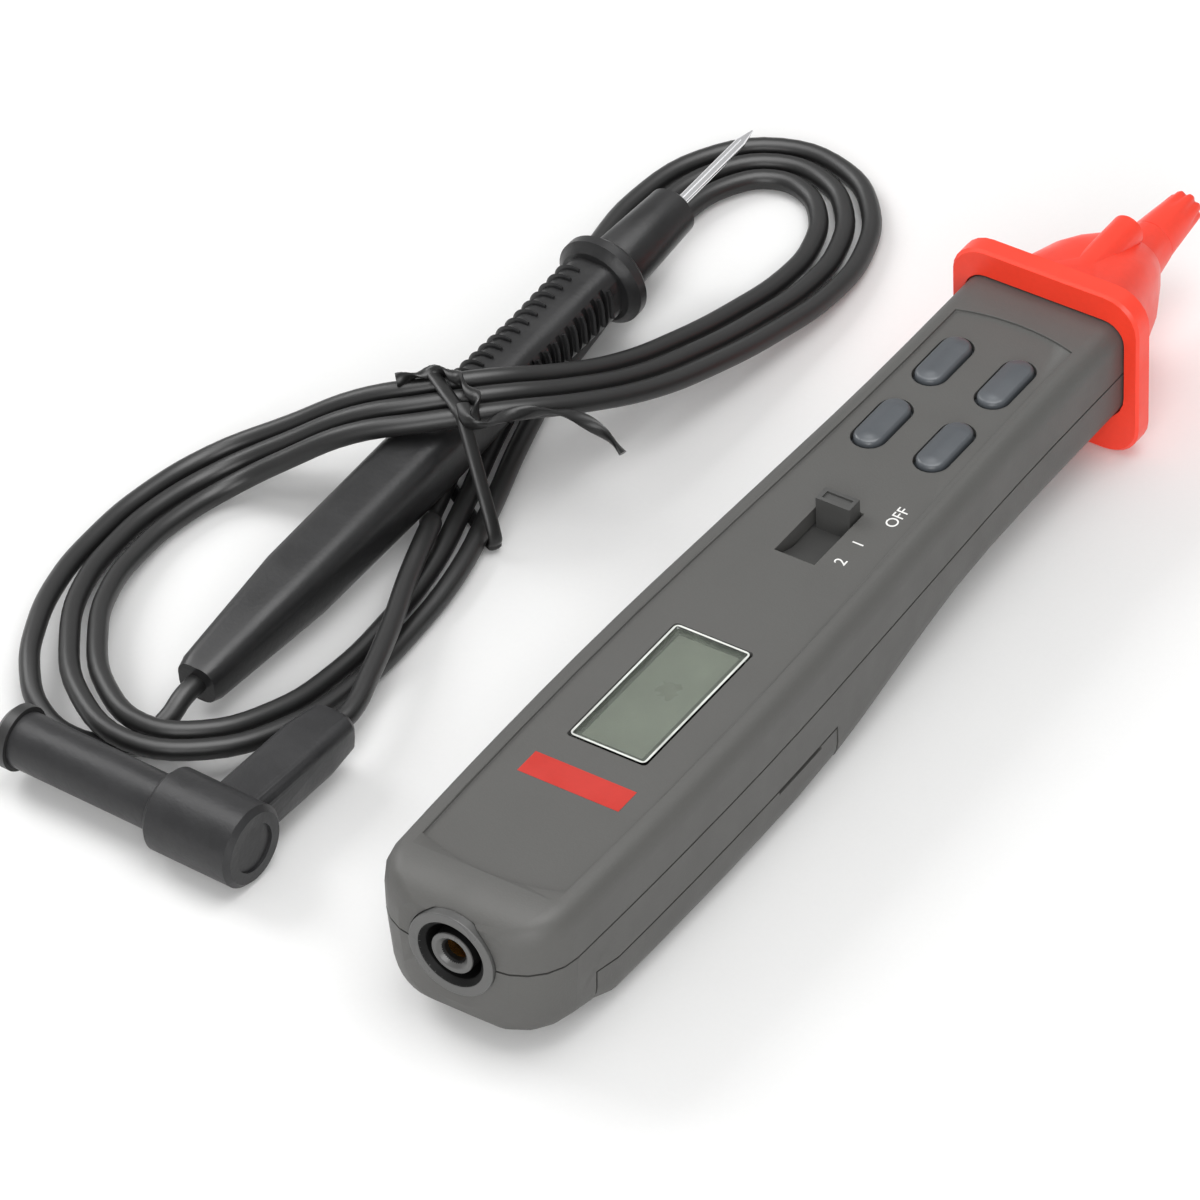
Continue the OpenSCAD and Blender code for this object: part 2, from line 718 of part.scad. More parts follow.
function guard_section(inset) =
    section(guard_w / 2 - inset, inset, guard_h - inset, guard_r, guard_r);
function cone_section(i, inset = 0) = section(
    cone_w_shares[i] * guard_w / 2 - inset,
    probe_z - cone_down_shares[i] * guard_h / 2 + inset,
    probe_z + cone_up_shares[i] * guard_h / 2 - inset,
    cone_r_shares[i] * guard_r - inset / 2, cone_r_shares[i] * guard_r - inset / 2
);

function pocket_section() = section(
    neck_w / 2 + seat_gap, belly_rise - seat_gap, case_h + seat_gap, top_edge_r + seat_gap, low_edge_r + seat_gap
);

module nose_guard() {
    y = guard_y;
    cone_ys = [for (s = cone_shares) y + s * nose_l];
    color([0.86, 0.2, 0.12]) {
        difference() {
            union() {
                skin(concat([y, y + guard_soft / 2, y + guard_t - guard_soft, y + guard_t], cone_ys),
                     concat([guard_section(guard_soft / 3), guard_section(0), guard_section(0),
                             guard_section(guard_soft)],
                            [for (i = [0:len(cone_ys) - 1]) cone_section(i)]));
                rod(y + guard_t, y + nose_l * cone_shares[3], torch_r, torch_z);
                rod(cap_y - cut, cap_y + neck_l, neck_r, probe_z);
            }
            // Pocket that takes the end of the case
            skin([y - cut, y + guard_pocket + seat_gap], [pocket_section(), pocket_section()]);
            // Hollow that opens to the case, and the bores of the pin and the lamp
            skin([y - cut, cone_ys[0], cone_ys[1]],
                 [cone_section(0, wall), cone_section(0, wall), cone_section(1, wall)]);
            rod(y, tip_y, pin_d / 2 + press_gap, probe_z);
            rod(y + guard_t, y + nose_l, lamp_r + press_gap, torch_z);
        }
        // Spigot inside the case
        difference() {
            spigot(fit_gap, y - spigot_l, y + guard_pocket + seat_gap + eps);
            spigot(fit_gap + wall / 2, y - spigot_l - cut, y + guard_pocket + cut);
            rod(y - spigot_l - cut, y + guard_pocket + cut, pin_d / 2 + seat_gap, probe_z);
        }
    }
}
module spigot(inset, y0, y1) {
    w = neck_w / 2 - wall - inset;
    block([-w, y0, belly_rise + low_edge_r + wall + inset], [w, y1, roof_z - inset]);
}

// Probe pin, its terminal under the board, and the cap that guards it
pin_tip_l = 4;
pin_tip_r = 0.2;
pin_in = 5;
pin_back = 2;
pin_y0 = board_y1 - pin_in;
pin_y1 = tip_y - pin_back;
module probe_pin() {
    color([0.8, 0.8, 0.82]) {
        rod(pin_y0, pin_y1 - pin_tip_l, pin_d / 2, probe_z);
        rod(pin_y1 - pin_tip_l - eps, pin_y1, pin_d / 2, probe_z, 0, pin_tip_r);
    }
}
terminal_w = 5;
terminal_floor = 1;
terminal_back = 0.5;
module pin_terminal() {
    color([0.85, 0.68, 0.3]) difference() {
        block([-terminal_w / 2, pin_y0, probe_z - pin_d / 2 - terminal_floor],
              [terminal_w / 2, board_y1 - terminal_back, board_z]);
        rod(pin_y0 - cut, board_y1 + cut, pin_d / 2 + press_gap, probe_z);
    }
}
cap_tip_r = 2.3;
cap_notch = 0.7;
cap_step = 0.1;
module tip_cap() {
    y0 = cap_y + fit_gap;
    color([0.88, 0.22, 0.14]) difference() {
        rod(y0, tip_y, cone_w_shares[5] * guard_w / 2 - cap_step, probe_z, 0, cap_tip_r);
        rod(y0 - cut, cap_y + neck_l + seat_gap, neck_r + fit_gap, probe_z);
        rod(y0, pin_y1 - pin_tip_l + 2 * seat_gap, pin_d / 2 + seat_gap, probe_z);
        rod(pin_y1 - pin_tip_l + seat_gap, pin_y1 + seat_gap, pin_d / 2 + seat_gap, probe_z, 0,
            pin_tip_r + seat_gap);
        // Notches across the tip
        for (a = [0:90:359]) translate([0, tip_y, probe_z]) rotate([0, a + 45, 0])
            block([cap_tip_r - cap_notch, -2 * cut, -cap_notch], [case_w, cut, cap_notch]);
    }
}
lamp_l = 8;
lamp_back = 0.4;
leg_x = 0.8;
leg_half = 0.25;
leg_in = 2;
module torch_lamp() {
    y1 = guard_y + nose_l * cone_shares[3] - lamp_back;
    y0 = y1 - lamp_l;
    color([0.9, 0.95, 1, 0.6]) {
        rod(y0, y1 - lamp_r, lamp_r, torch_z);
        translate([0, y1 - lamp_r, torch_z]) sphere(r = lamp_r, $fn = 24);
    }
    // Legs back to the board
    color([0.8, 0.8, 0.82]) for (s = [-1, 1]) {
        x0 = s * leg_x - leg_half;
        x1 = s * leg_x + leg_half;
        leg_y = board_y1 - leg_in;
        block([x0, leg_y, torch_z - leg_half], [x1, y0 + eps, torch_z + leg_half]);
        block([x0, leg_y, board_top], [x1, leg_y + 2 * leg_half, torch_z]);
    }
}

// Two cells side by side, pointing opposite ways
cell_cap_l = 1;
cell_cap_r = 2.7;
module cell(dir) {
    body_y0 = dir > 0 ? plate_y0 + spring_l : plate_y0 + cell_cap_l;
    body_y1 = body_y0 + cell_l - cell_cap_l;
    rod(body_y0, body_y1, cell_d / 2, cell_z, dir * cell_x);
    cap_y0 = dir > 0 ? body_y1 - eps : plate_y0;
    rod(cap_y0, cap_y0 + cell_cap_l + eps, cell_cap_r, cell_z, dir * cell_x);
}
module batteries() {
    color([0.75, 0.6, 0.25]) for (d = [-1, 1]) cell(d);
}

// Plates at both ends of the cells
plate_w = 8.4;
module battery_contacts() {
    color([0.8, 0.8, 0.8]) for (d = [-1, 1], y = [plate_y0 - plate_t, plate_y1])
        translate([d * cell_x, y, cell_z])
            translate([-plate_w / 2, 0, -plate_w / 2]) cube([plate_w, plate_t, plate_w]);
}

// A tube swept along a path of points, with n sides
function unit(v) = v / norm(v);
function tangent(p, i) = unit(p[min(i + 1, len(p) - 1)] - p[max(i - 1, 0)]);
function side_axis(t) = abs(t[2]) > 0.95 ? unit(cross(t, [0, 1, 0])) : unit(cross(t, [0, 0, 1]));
module tube(path, r, n) {
    m = len(path);
    pts = [for (i = [0:m - 1])
        let (t = tangent(path, i), u = side_axis(t), v = cross(t, u))
        for (j = [0:n - 1]) path[i] + r * (cos(360 * j / n) * u + sin(360 * j / n) * v)];
    sides = [for (i = [0:m - 2]) for (j = [0:n - 1]) let (k = (j + 1) % n)
        each [[i * n + j, (i + 1) * n + k, i * n + k], [i * n + j, (i + 1) * n + j, (i + 1) * n + k]]];
    ends = [[for (j = [0:n - 1]) j], [for (j = [n - 1:-1:0]) (m - 1) * n + j]];
    polyhedron(points = pts, faces = concat(sides, ends), convexity = 8);
}

// Conical springs at the flat ends of the cells
spring_r = 3.4;
spring_end_r = 2.2;
spring_wire = 0.5;
spring_turns = 3.5;
module battery_springs() {
    n = 28;
    rise = spring_l - spring_wire - 2 * eps;
    color([0.75, 0.75, 0.78]) for (d = [-1, 1]) {
        y0 = d > 0 ? plate_y0 : plate_y1;
        tube([for (i = [0:n])
            let (u = i / n, r = spring_r + (spring_end_r - spring_r) * u, a = 360 * spring_turns * u)
            [d * cell_x + r * cos(a), y0 + d * (spring_wire / 2 + eps + rise * u), cell_z + r * sin(a)]],
            spring_wire / 2, 6);
    }
}

// Small parts under the board
buzzer_d = 12;
buzzer_h = 3.2;
buzzer_share = 0.72;
buzzer_hole_d = 2;
module buzzer() {
    color([0.12, 0.12, 0.12]) translate([0, along(buzzer_share), board_z - buzzer_h]) difference() {
        cylinder(h = buzzer_h, d = buzzer_d, $fn = smooth);
        translate([0, 0, -cut]) cylinder(h = 2 * cut, d = buzzer_hole_d, $fn = smooth);
    }
}
chip_w = 10;
chip_h = 1.6;
chip_share = 0.5;
module main_chip() {
    color([0.08, 0.08, 0.08]) translate([-chip_w / 2, along(chip_share) - chip_w / 2, board_z - chip_h])
        cube([chip_w, chip_w, chip_h]);
}
resistor_d = 3.4;
resistor_l = 9;
resistor_in = 8;
module safety_resistor() {
    color([0.75, 0.6, 0.4]) translate([-resistor_l / 2, board_y0 + resistor_in, board_z - resistor_d / 2])
        rotate([0, 90, 0]) cylinder(h = resistor_l, d = resistor_d, $fn = smooth);
}

// Screws: head below, shank up into the upper case half's boss
head_clear = 0.4;
shank_clear = 0.2;
screw_top_gap = 1.5;
module screw(p, seat) {
    translate([p[0], p[1], seat - screw_head_h])
        cylinder(h = screw_head_h, d = screw_head_d - head_clear, $fn = smooth);
    translate([p[0], p[1], seat - eps])
        cylinder(h = roof_z - screw_top_gap - seat, d = screw_d - shank_clear, $fn = smooth);
}
module case_screws() {
    color([0.7, 0.7, 0.72]) for (p = screw_places) screw(p, p[2]);
}
module board_screws() {
    color([0.7, 0.7, 0.72]) for (p = board_screw_places) screw(p, board_z);
}

// Test lead: plug, lead in a tied hank, and probe. The plug's own axis is +Y before it is placed.
plug_face = [-50.4, -104.4];
plug_turn = -2.7;
head_r = 7.7;
head_l = 19;
shroud_l = 31;
shroud_wall = 0.9;
shroud_floor = 8;
arm_y = 8;
arm_l = 33;
arm_w = 10.4;
arm_h = 9;
arm_soft = 2.4;
dimple_r = 4.6;
dimple_t = 0.5;
plug_pin_in = 4;
plug_pin_l = 26;
plug_pin_y0 = head_l - plug_pin_in;
head_edge = 1;
arm_in = 2;
arm_taper_l = 8;
arm_draft = 0.6;

plug_side = [cos(90 + plug_turn), sin(90 + plug_turn), 0];
plug_axis = [-sin(90 + plug_turn), cos(90 + plug_turn), 0];

module at_plug()
    translate([plug_face[0], plug_face[1], head_r]) rotate([0, 0, 90 + plug_turn]) children();

module plug_body() {
    w = arm_w / 2;
    color([0.13, 0.13, 0.135]) at_plug() {
        difference() {
            union() {
                rod(0, head_edge, head_r - head_edge, 0, 0, head_r);
                rod(head_edge - eps, head_l - head_edge, head_r);
                rod(head_l - head_edge - eps, head_l, head_r, 0, 0, head_r - head_edge);
                rod(head_l - head_edge, head_l + shroud_l, shroud_d / 2);
            }
            rod(-cut, dimple_t, dimple_r);
            rod(head_l + shroud_floor, head_l + shroud_l + cut, shroud_d / 2 - shroud_wall);
            rod(plug_pin_y0, head_l + shroud_floor + cut, plug_pin_d / 2);
        }
        rotate([0, 0, -90]) translate([-arm_y, 0, 0]) skin(
            [head_r - arm_in, arm_l - arm_taper_l, arm_l - head_edge, arm_l],
            [for (k = [0, 0, arm_draft, 2 * arm_draft]) section(w - k, -arm_h / 2 + k, arm_h / 2 - k, arm_soft, arm_soft)]
        );
    }
}

// The plug's pin
pin_edge = 0.8;
module plug_pin() {
    color([0.85, 0.7, 0.4]) at_plug() {
        y1 = plug_pin_y0 + plug_pin_l;
        rod(plug_pin_y0, y1 - pin_edge, plug_pin_d / 2);
        rod(y1 - pin_edge - eps, y1, plug_pin_d / 2, 0, 0, plug_pin_d / 2 - pin_edge);
    }
}

// Cap in the mouth of the shroud
plug_cap_r = 6;
plug_cap_t = 3;
plug_cap_in = 6;
plug_cap_gap = 0.1;
module plug_cap() {
    y = head_l + shroud_l;
    color([0.1, 0.1, 0.1]) at_plug() difference() {
        union() {
            rod(y + plug_cap_gap, y + plug_cap_t - head_edge, plug_cap_r);
            rod(y + plug_cap_t - head_edge - eps, y + plug_cap_t, plug_cap_r, 0, 0, plug_cap_r - head_edge);
            rod(y - plug_cap_in, y + head_edge, shroud_d / 2 - shroud_wall - plug_cap_gap);
        }
        rod(y - plug_cap_in - cut, y, plug_pin_d / 2 + seat_gap);
    }
}

// Probe: its own axis is +Y from the rear end before it is placed
probe_rear = [-84.5, -73.7, 6.6];
probe_tilt = 3.6;
probe_turn = -1.64;
ring_share = 0.842;
ring_t = 5;
ring_lip = 1.6;
handle_w = 13.2;
handle_h = 12.4;
handle_w_shares = [0.848, 0.924, 1, 0.97, 0.848, 0.818, 0.879];
handle_h_shares = [0.871, 0.952, 1, 1, 0.935, 0.903, 0.968];
handle_shares = [0, 0.014, 0.2, 0.45, 0.62, 0.7, 0.84];
handle_r = 4;
sleeve_r = 5.2;
sleeve_end_r = 4.2;
groove_n = 12;
groove_pitch = 2.7;
groove_w = 1.1;
groove_depth = 0.8;
needle_d = 2;
needle_l = 25;
needle_in = 12;
needle_point_l = 4;
needle_point_r = 0.15;
sleeve_edge = 1;

probe_axis = [
    -sin(probe_turn) * cos(probe_tilt), cos(probe_turn) * cos(probe_tilt), sin(probe_tilt)
];

module at_probe()
    translate(probe_rear) rotate([probe_tilt, 0, probe_turn]) children();

module probe_handle() {
    ring_y = handle_l * ring_share;
    groove_x = handle_w_shares[5] * handle_w / 2 - groove_depth;
    color([0.12, 0.12, 0.125]) at_probe() {
        difference() {
            skin([for (s = handle_shares) s * handle_l],
                 [for (i = [0:len(handle_shares) - 1])
                     let (w = handle_w_shares[i] * handle_w / 2, h = handle_h_shares[i] * handle_h / 2)
                     section(w, -h, h, handle_r, handle_r)]);
            // Grip grooves down both sides
            for (i = [1:groove_n], side = [0, 1]) mirror([side, 0, 0])
                translate([groove_x, ring_y - ring_t - i * groove_pitch, -case_h])
                    cube([case_w, groove_w, 2 * case_h]);
        }
        difference() {
            union() {
                rod(ring_y - ring_t / 2, ring_y - ring_t / 2 + ring_lip, ring_d / 2 - ring_lip, 0, 0, ring_d / 2);
                rod(ring_y - ring_t / 2 + ring_lip - eps, ring_y + ring_t / 2 - ring_lip, ring_d / 2);
                rod(ring_y + ring_t / 2 - ring_lip - eps, ring_y + ring_t / 2, ring_d / 2, 0, 0,
                    ring_d / 2 - ring_lip);
                rod(ring_y, handle_l - sleeve_edge, sleeve_r, 0, 0, sleeve_end_r);
                rod(handle_l - sleeve_edge - eps, handle_l, sleeve_end_r, 0, 0, sleeve_end_r - sleeve_edge);
            }
            rod(handle_l - needle_in, handle_l + cut, needle_d / 2);
        }
    }
}
module probe_needle() {
    y1 = handle_l + needle_l;
    color([0.85, 0.85, 0.87]) at_probe() {
        rod(handle_l - needle_in, y1 - needle_point_l, needle_d / 2);
        rod(y1 - needle_point_l - eps, y1, needle_d / 2, 0, 0, needle_point_r);
    }
}

// Lead. One turn of the hank is a figure of eight: up the left side, over the probe's handle,
// round the right lobe, back under the handle and round the bottom of the left lobe.
hank_turn = [
    [-110, -73, 6], [-117, -60, 4.4], [-120, -47, 3], [-120, -34, 2.4], [-116, -22, 3.4],
    [-106, -15, 9.6], [-95, -10, 16.6], [-84, -4, 19.8], [-74, 5, 20.2], [-67, 17, 16.5],
    [-62, 31, 12], [-59, 46, 8.5], [-57, 62, 5.5], [-56, 78, 3.4], [-58, 91, 2.2],
    [-63, 101, 2], [-71, 107, 2], [-81, 107, 2], [-89, 99, 2], [-92, 85, 2], [-90, 68, 2.4],
    [-87, 50, 2.8], [-84, 32, 3], [-79, 13, 3], [-73.2, -5, 2.6], [-68.4, -22, 2.5], [-66.6, -38, 2],
    [-66, -55, 2.6], [-68, -72, 4.6], [-75, -85, 6.2], [-86, -90, 6.6], [-99, -85, 6.6]
];
hank_space = 1.1;
hank_step = lead_d + hank_space;
hank_n = len(hank_turn);
hank_last = 2 * hank_n + 24;
function hank_at(i) = hank_turn[(i + hank_n) % hank_n];
function flat_dir(i) = let (d = hank_at(i + 1) - hank_at(i - 1)) unit([d[0], d[1], 0]);
function hank_point(i) =
    let (d = flat_dir(i), s = hank_step * (hank_last / 2 - i) / hank_n)
    hank_at(i) + s * [-d[1], d[0], 0];
hank_path = [for (i = [0:hank_last]) hank_point(i)];
hank_in = unit(hank_path[1] - hank_path[0]);
hank_out = unit(hank_path[hank_last] - hank_path[hank_last - 1]);

probe_run = concat(
    [probe_rear, probe_rear - lead_d * probe_axis],
    [[-84.8, -82, 4.6], [-86.5, -86, 2.8], [-91, -90, 2], [-98, -92.5, 2], [-104.5, -91.5, 3.6]],
    [hank_path[0] - 2 * lead_d * hank_in, hank_path[0] - lead_d * hank_in, hank_path[0]]
);
arm_end = concat(plug_face, head_r) + arm_l * plug_side + arm_y * plug_axis;
plug_run = concat(
    [hank_path[hank_last], hank_path[hank_last] + lead_d * hank_out],
    [[-77, -13.5, 3.2], [-75.5, -15, 4.7], [-74.3, -17, 6.1], [-72.5, -21.5, 7], [-68.8, -32, 7.2],
     [-64, -44, 7.4], [-59.5, -57, 7.7]],
    [arm_end + lead_d * plug_side, arm_end]
);
module lead_hank() { color([0.05, 0.05, 0.05]) tube(hank_path, lead_d / 2, 6); }
module lead_probe_run() { color([0.05, 0.05, 0.05]) tube(probe_run, lead_d / 2, 8); }
module lead_plug_run() { color([0.05, 0.05, 0.05]) tube(plug_run, lead_d / 2, 8); }

// Twist tie round the hank's waist and the probe's handle, with its knot and two ends.
// The outline is across the bundle: sideways, then up.
tie_at = [-81, -1, 0];
tie_turn = -32;
tie_w = 3.4;
tie_t = 0.5;
tie_wire_d = 1.8;
tie_outline = [
    [-10.6, 7], [-10.6, 14.6], [-8.7, 20.2], [-7, 22.2], [6.2, 22.2], [8.4, 20.2], [19, 4.4], [19, 1.6],
    [17.6, 0.6], [-5.5, 0.6]
];
tie_end_right = [
    [-76, -3, 23.2], [-73, -6, 22.8], [-70.3, -4.6, 22], [-67.9, 1.4, 21.4], [-61.9, 8.4, 19.1],
    [-55.9, 10.9, 15.6], [-51.4, 10.4, 13.1]
];
tie_end_left = [[-73, -4.4, 20.8], [-74.4, -1, 23.2], [-78, 1, 23.6], [-84, 3, 23.3], [-91, -2, 21.8]];
module twist_tie() {
    color([0.06, 0.06, 0.06]) {
        translate(tie_at) rotate([90, 0, tie_turn]) linear_extrude(tie_w, center = true) difference() {
            offset(r = tie_t, $fn = 16) polygon(tie_outline);
            polygon(tie_outline);
        }
        tube(tie_end_right, tie_wire_d / 2, 6);
        tube(tie_end_left, tie_wire_d / 2, 6);
    }
}

// Least gap of the hank to itself, measured on points along it
gap_steps = 4;
gap_points = [for (i = [0:hank_last - 1], k = [0:gap_steps - 1])
    hank_path[i] + (hank_path[i + 1] - hank_path[i]) * k / gap_steps];
skip = 4 * gap_steps;
least_gap = min([for (i = [0:len(gap_points) - 1 - skip])
    min([for (j = [i + skip:len(gap_points) - 1]) norm(gap_points[i] - gap_points[j])])]) - lead_d;
function path_length(p, i = 1) = i < len(p) ? norm(p[i] - p[i - 1]) + path_length(p, i + 1) : 0;
echo(least_gap_of_hank = least_gap, lead_length = path_length(hank_path) + path_length(probe_run)
    + path_length(plug_run));

top_case();
bottom_case();
battery_cover();
display_window();
display_panel();
display_frame();
contact_strips();
circuit_board();
key_front_left();
key_front_right();
key_rear_left();
key_rear_right();
keypad_mat();
switch_knob();
switch_wiper();
jack_housing();
jack_contact();
nose_guard();
probe_pin();
pin_terminal();
tip_cap();
torch_lamp();
batteries();
battery_springs();
battery_contacts();
buzzer();
main_chip();
safety_resistor();
case_screws();
board_screws();
plug_body();
plug_pin();
plug_cap();
probe_handle();
probe_needle();
lead_hank();
lead_probe_run();
lead_plug_run();
twist_tie();
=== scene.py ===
"""Looks of the pen multimeter and its test lead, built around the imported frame."""
import logging
import math
from dataclasses import dataclass
from enum import Enum

import bmesh
import bpy
from mathutils import Matrix, Vector


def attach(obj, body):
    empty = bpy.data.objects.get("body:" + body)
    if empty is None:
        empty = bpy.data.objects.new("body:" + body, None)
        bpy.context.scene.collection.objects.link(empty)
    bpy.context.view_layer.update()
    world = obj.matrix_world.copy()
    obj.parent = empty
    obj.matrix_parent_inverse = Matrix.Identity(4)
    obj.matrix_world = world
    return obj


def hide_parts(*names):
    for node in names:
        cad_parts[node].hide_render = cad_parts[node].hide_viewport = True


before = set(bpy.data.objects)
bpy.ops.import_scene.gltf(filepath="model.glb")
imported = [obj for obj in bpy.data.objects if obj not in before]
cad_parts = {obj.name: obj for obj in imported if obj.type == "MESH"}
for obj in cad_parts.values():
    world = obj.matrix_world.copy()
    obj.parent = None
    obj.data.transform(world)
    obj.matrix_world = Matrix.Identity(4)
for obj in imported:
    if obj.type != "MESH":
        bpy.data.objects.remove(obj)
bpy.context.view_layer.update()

MM = 0.001
LOG = logging.getLogger("pen_meter")

# Angles are in degrees and waves per metre. The merge distance is in metres, the least radius in millimetres.
COAT_ROUGHNESS = 0.1
LEAST_ROUGHNESS = 0.01
BROAD_SHARE = 0.5
NOISE_DETAIL = 3
NOISE_LOW = 0.3
NOISE_HIGH = 0.7
GLOSS_WAVES = 120.0
FLECK_SHARE = 0.6
MERGE_DISTANCE = 2e-6
FLAT_ANGLE = 0.4
EDGE_ANGLE = 30.0
EDGE_STEPS = 2
CREASE = 40.0
TURNED_STEPS = 56
LEAST_RADIUS = 0.01
SMOOTH_STEPS = 10

Point = tuple[float, float, float]
Colour = tuple[float, float, float]
Profile = tuple[tuple[float, float], ...]


def mm(point: Point) -> Vector:
    """A point given in millimetres, in metres."""
    return Vector(point) * MM


class Body(Enum):
    """The bodies of the frame that pieces ride on."""

    METER = "meter"
    SWITCH = "switch"
    COVER = "battery_cover"
    TIP_CAP = "tip_cap"
    PLUG_CAP = "plug_cap"
    KEY_FRONT_LEFT = "key_front_left"
    KEY_FRONT_RIGHT = "key_front_right"
    KEY_REAR_LEFT = "key_rear_left"
    KEY_REAR_RIGHT = "key_rear_right"


class Grain(Enum):
    """What the surface of a finish looks like close by."""

    ERODED = "eroded"
    DRAWN = "drawn"
    # A rippled film: its broad colour mottle is stretched into painted reflection, the wavy light and dark on
    # the film; its bump is stretched too.
    RIPPLED_WITH_PAINTED_REFLECTION = "rippled"
    POLISHED = "polished"


EVEN = (1, 1, 1)
# Stretch of the broad colour mottle; on rippled finishes it draws the painted reflection out into waves.
PAINTED_REFLECTION_STRETCH = {Grain.RIPPLED_WITH_PAINTED_REFLECTION: (1, 0.45, 1)}
GLOSS_STRETCH = {Grain.DRAWN: (1, 0.06, 1)}
RELIEF_STRETCH = {Grain.DRAWN: (1, 0.05, 1), Grain.RIPPLED_WITH_PAINTED_REFLECTION: (1, 0.4, 1)}


@dataclass(frozen=True)
class Finish:
    """A surface: its colour, gloss and fine relief.

    Sizes are in metres, and shares run from 0 to 1.
    """

    name: str
    colour: Colour
    roughness: float = 0.5
    metallic: float = 0.0
    grain: Grain = Grain.ERODED
    spacing: float = 0.0005
    depth: float = 0.00002
    mottle: float = 0.08
    patch: float = 0.022
    gloss_change: float = 0.08
    coat: float = 0.0
    transmission: float = 0.0
    ior: float = 1.5
    specular: float = 0.5

    def material(self) -> bpy.types.Material:
        """The finish as a node material, built once.

        Returns:
            The material.
        """
        found = bpy.data.materials.get(self.name)
        if found:
            return found
        mat = bpy.data.materials.new(self.name)
        mat.use_nodes = True
        tree = mat.node_tree
        shader = tree.nodes["Principled BSDF"]
        shader.inputs["Metallic"].default_value = self.metallic
        shader.inputs["Coat Weight"].default_value = self.coat
        shader.inputs["Coat Roughness"].default_value = COAT_ROUGHNESS
        shader.inputs["Transmission Weight"].default_value = self.transmission
        shader.inputs["IOR"].default_value = self.ior
        shader.inputs["Specular IOR Level"].default_value = self.specular
        place = tree.nodes.new("ShaderNodeTexCoord").outputs["Object"]
        self._colour(tree, shader, place)
        self._gloss(tree, shader, place)
        if self.depth:
            self._relief(tree, shader, place)
        return mat

    def _noise(
        self, tree: bpy.types.NodeTree, place: bpy.types.NodeSocket, scale: float, stretch: Point = EVEN
    ) -> bpy.types.NodeSocket:
        """A noise over the object's own coordinates.

        Args:
            tree: the material's nodes.
            place: the coordinates.
            scale: waves per metre.
            stretch: how much each axis is packed closer.

        Returns:
            The noise's value.
        """
        mapping = tree.nodes.new("ShaderNodeMapping")
        mapping.inputs["Scale"].default_value = stretch
        tree.links.new(place, mapping.inputs["Vector"])
        noise = tree.nodes.new("ShaderNodeTexNoise")
        noise.inputs["Scale"].default_value = scale
        noise.inputs["Detail"].default_value = NOISE_DETAIL
        tree.links.new(mapping.outputs["Vector"], noise.inputs["Vector"])
        return noise.outputs["Fac"]

    def _between(
        self, tree: bpy.types.NodeTree, value: bpy.types.NodeSocket, low: float, high: float
    ) -> bpy.types.NodeSocket:
        """A noise value, spread between two limits.

        Args:
            tree: the material's nodes.
            value: the noise.
            low: result where the noise is lowest.
            high: result where it is highest.

        Returns:
            The spread value.
        """
        spread = tree.nodes.new("ShaderNodeMapRange")
        spread.inputs["From Min"].default_value = NOISE_LOW
        spread.inputs["From Max"].default_value = NOISE_HIGH
        spread.inputs["To Min"].default_value = low
        spread.inputs["To Max"].default_value = high
        tree.links.new(value, spread.inputs["Value"])
        return spread.outputs["Result"]

    def _colour(
        self, tree: bpy.types.NodeTree, shader: bpy.types.Node, place: bpy.types.NodeSocket
    ) -> None:
        """Colour with broad, faint mottling and a finer fleck; on rippled finishes the broad mottling,
        stretched, is painted reflection.

        Args:
            tree: the material's nodes.
            shader: the node that it goes into.
            place: the coordinates.
        """
        broad = self._noise(tree, place, 1 / self.patch, PAINTED_REFLECTION_STRETCH.get(self.grain, EVEN))
        fine = self._noise(tree, place, FLECK_SHARE / self.spacing)
        mix = tree.nodes.new("ShaderNodeMix")
        mix.data_type = "RGBA"
        low = [c * (1 - self.mottle) for c in self.colour]
        high = [min(1.0, c * (1 + self.mottle)) for c in self.colour]
        mix.inputs["A"].default_value = (*low, 1)
        mix.inputs["B"].default_value = (*high, 1)
        both = tree.nodes.new("ShaderNodeMath")
        both.operation = "MULTIPLY_ADD"
        both.inputs[1].default_value = BROAD_SHARE
        tree.links.new(self._between(tree, broad, 0.0, 1.0), both.inputs[0])
        tree.links.new(self._between(tree, fine, 0.0, 1 - BROAD_SHARE), both.inputs[2])
        tree.links.new(both.outputs[0], mix.inputs["Factor"])
        tree.links.new(mix.outputs["Result"], shader.inputs["Base Color"])

    def _gloss(
        self, tree: bpy.types.NodeTree, shader: bpy.types.Node, place: bpy.types.NodeSocket
    ) -> None:
        """Roughness that wanders a little, as on handled plastic.

        Args:
            tree: the material's nodes.
            shader: the node that it goes into.
            place: the coordinates.
        """
        value = self._noise(tree, place, GLOSS_WAVES, GLOSS_STRETCH.get(self.grain, EVEN))
        low = max(LEAST_ROUGHNESS, self.roughness - self.gloss_change)
        out = self._between(tree, value, low, min(1.0, self.roughness + self.gloss_change))
        tree.links.new(out, shader.inputs["Roughness"])

    def _relief(
        self, tree: bpy.types.NodeTree, shader: bpy.types.Node, place: bpy.types.NodeSocket
    ) -> None:
        """Bump from the finish's grain.

        Args:
            tree: the material's nodes.
            shader: the node that it goes into.
            place: the coordinates.
        """
        value = self._noise(tree, place, 1 / self.spacing, RELIEF_STRETCH.get(self.grain, EVEN))
        bump = tree.nodes.new("ShaderNodeBump")
        bump.inputs["Strength"].default_value = 1.0
        bump.inputs["Distance"].default_value = self.depth
        tree.links.new(value, bump.inputs["Height"])
        tree.links.new(bump.outputs["Normal"], shader.inputs["Normal"])


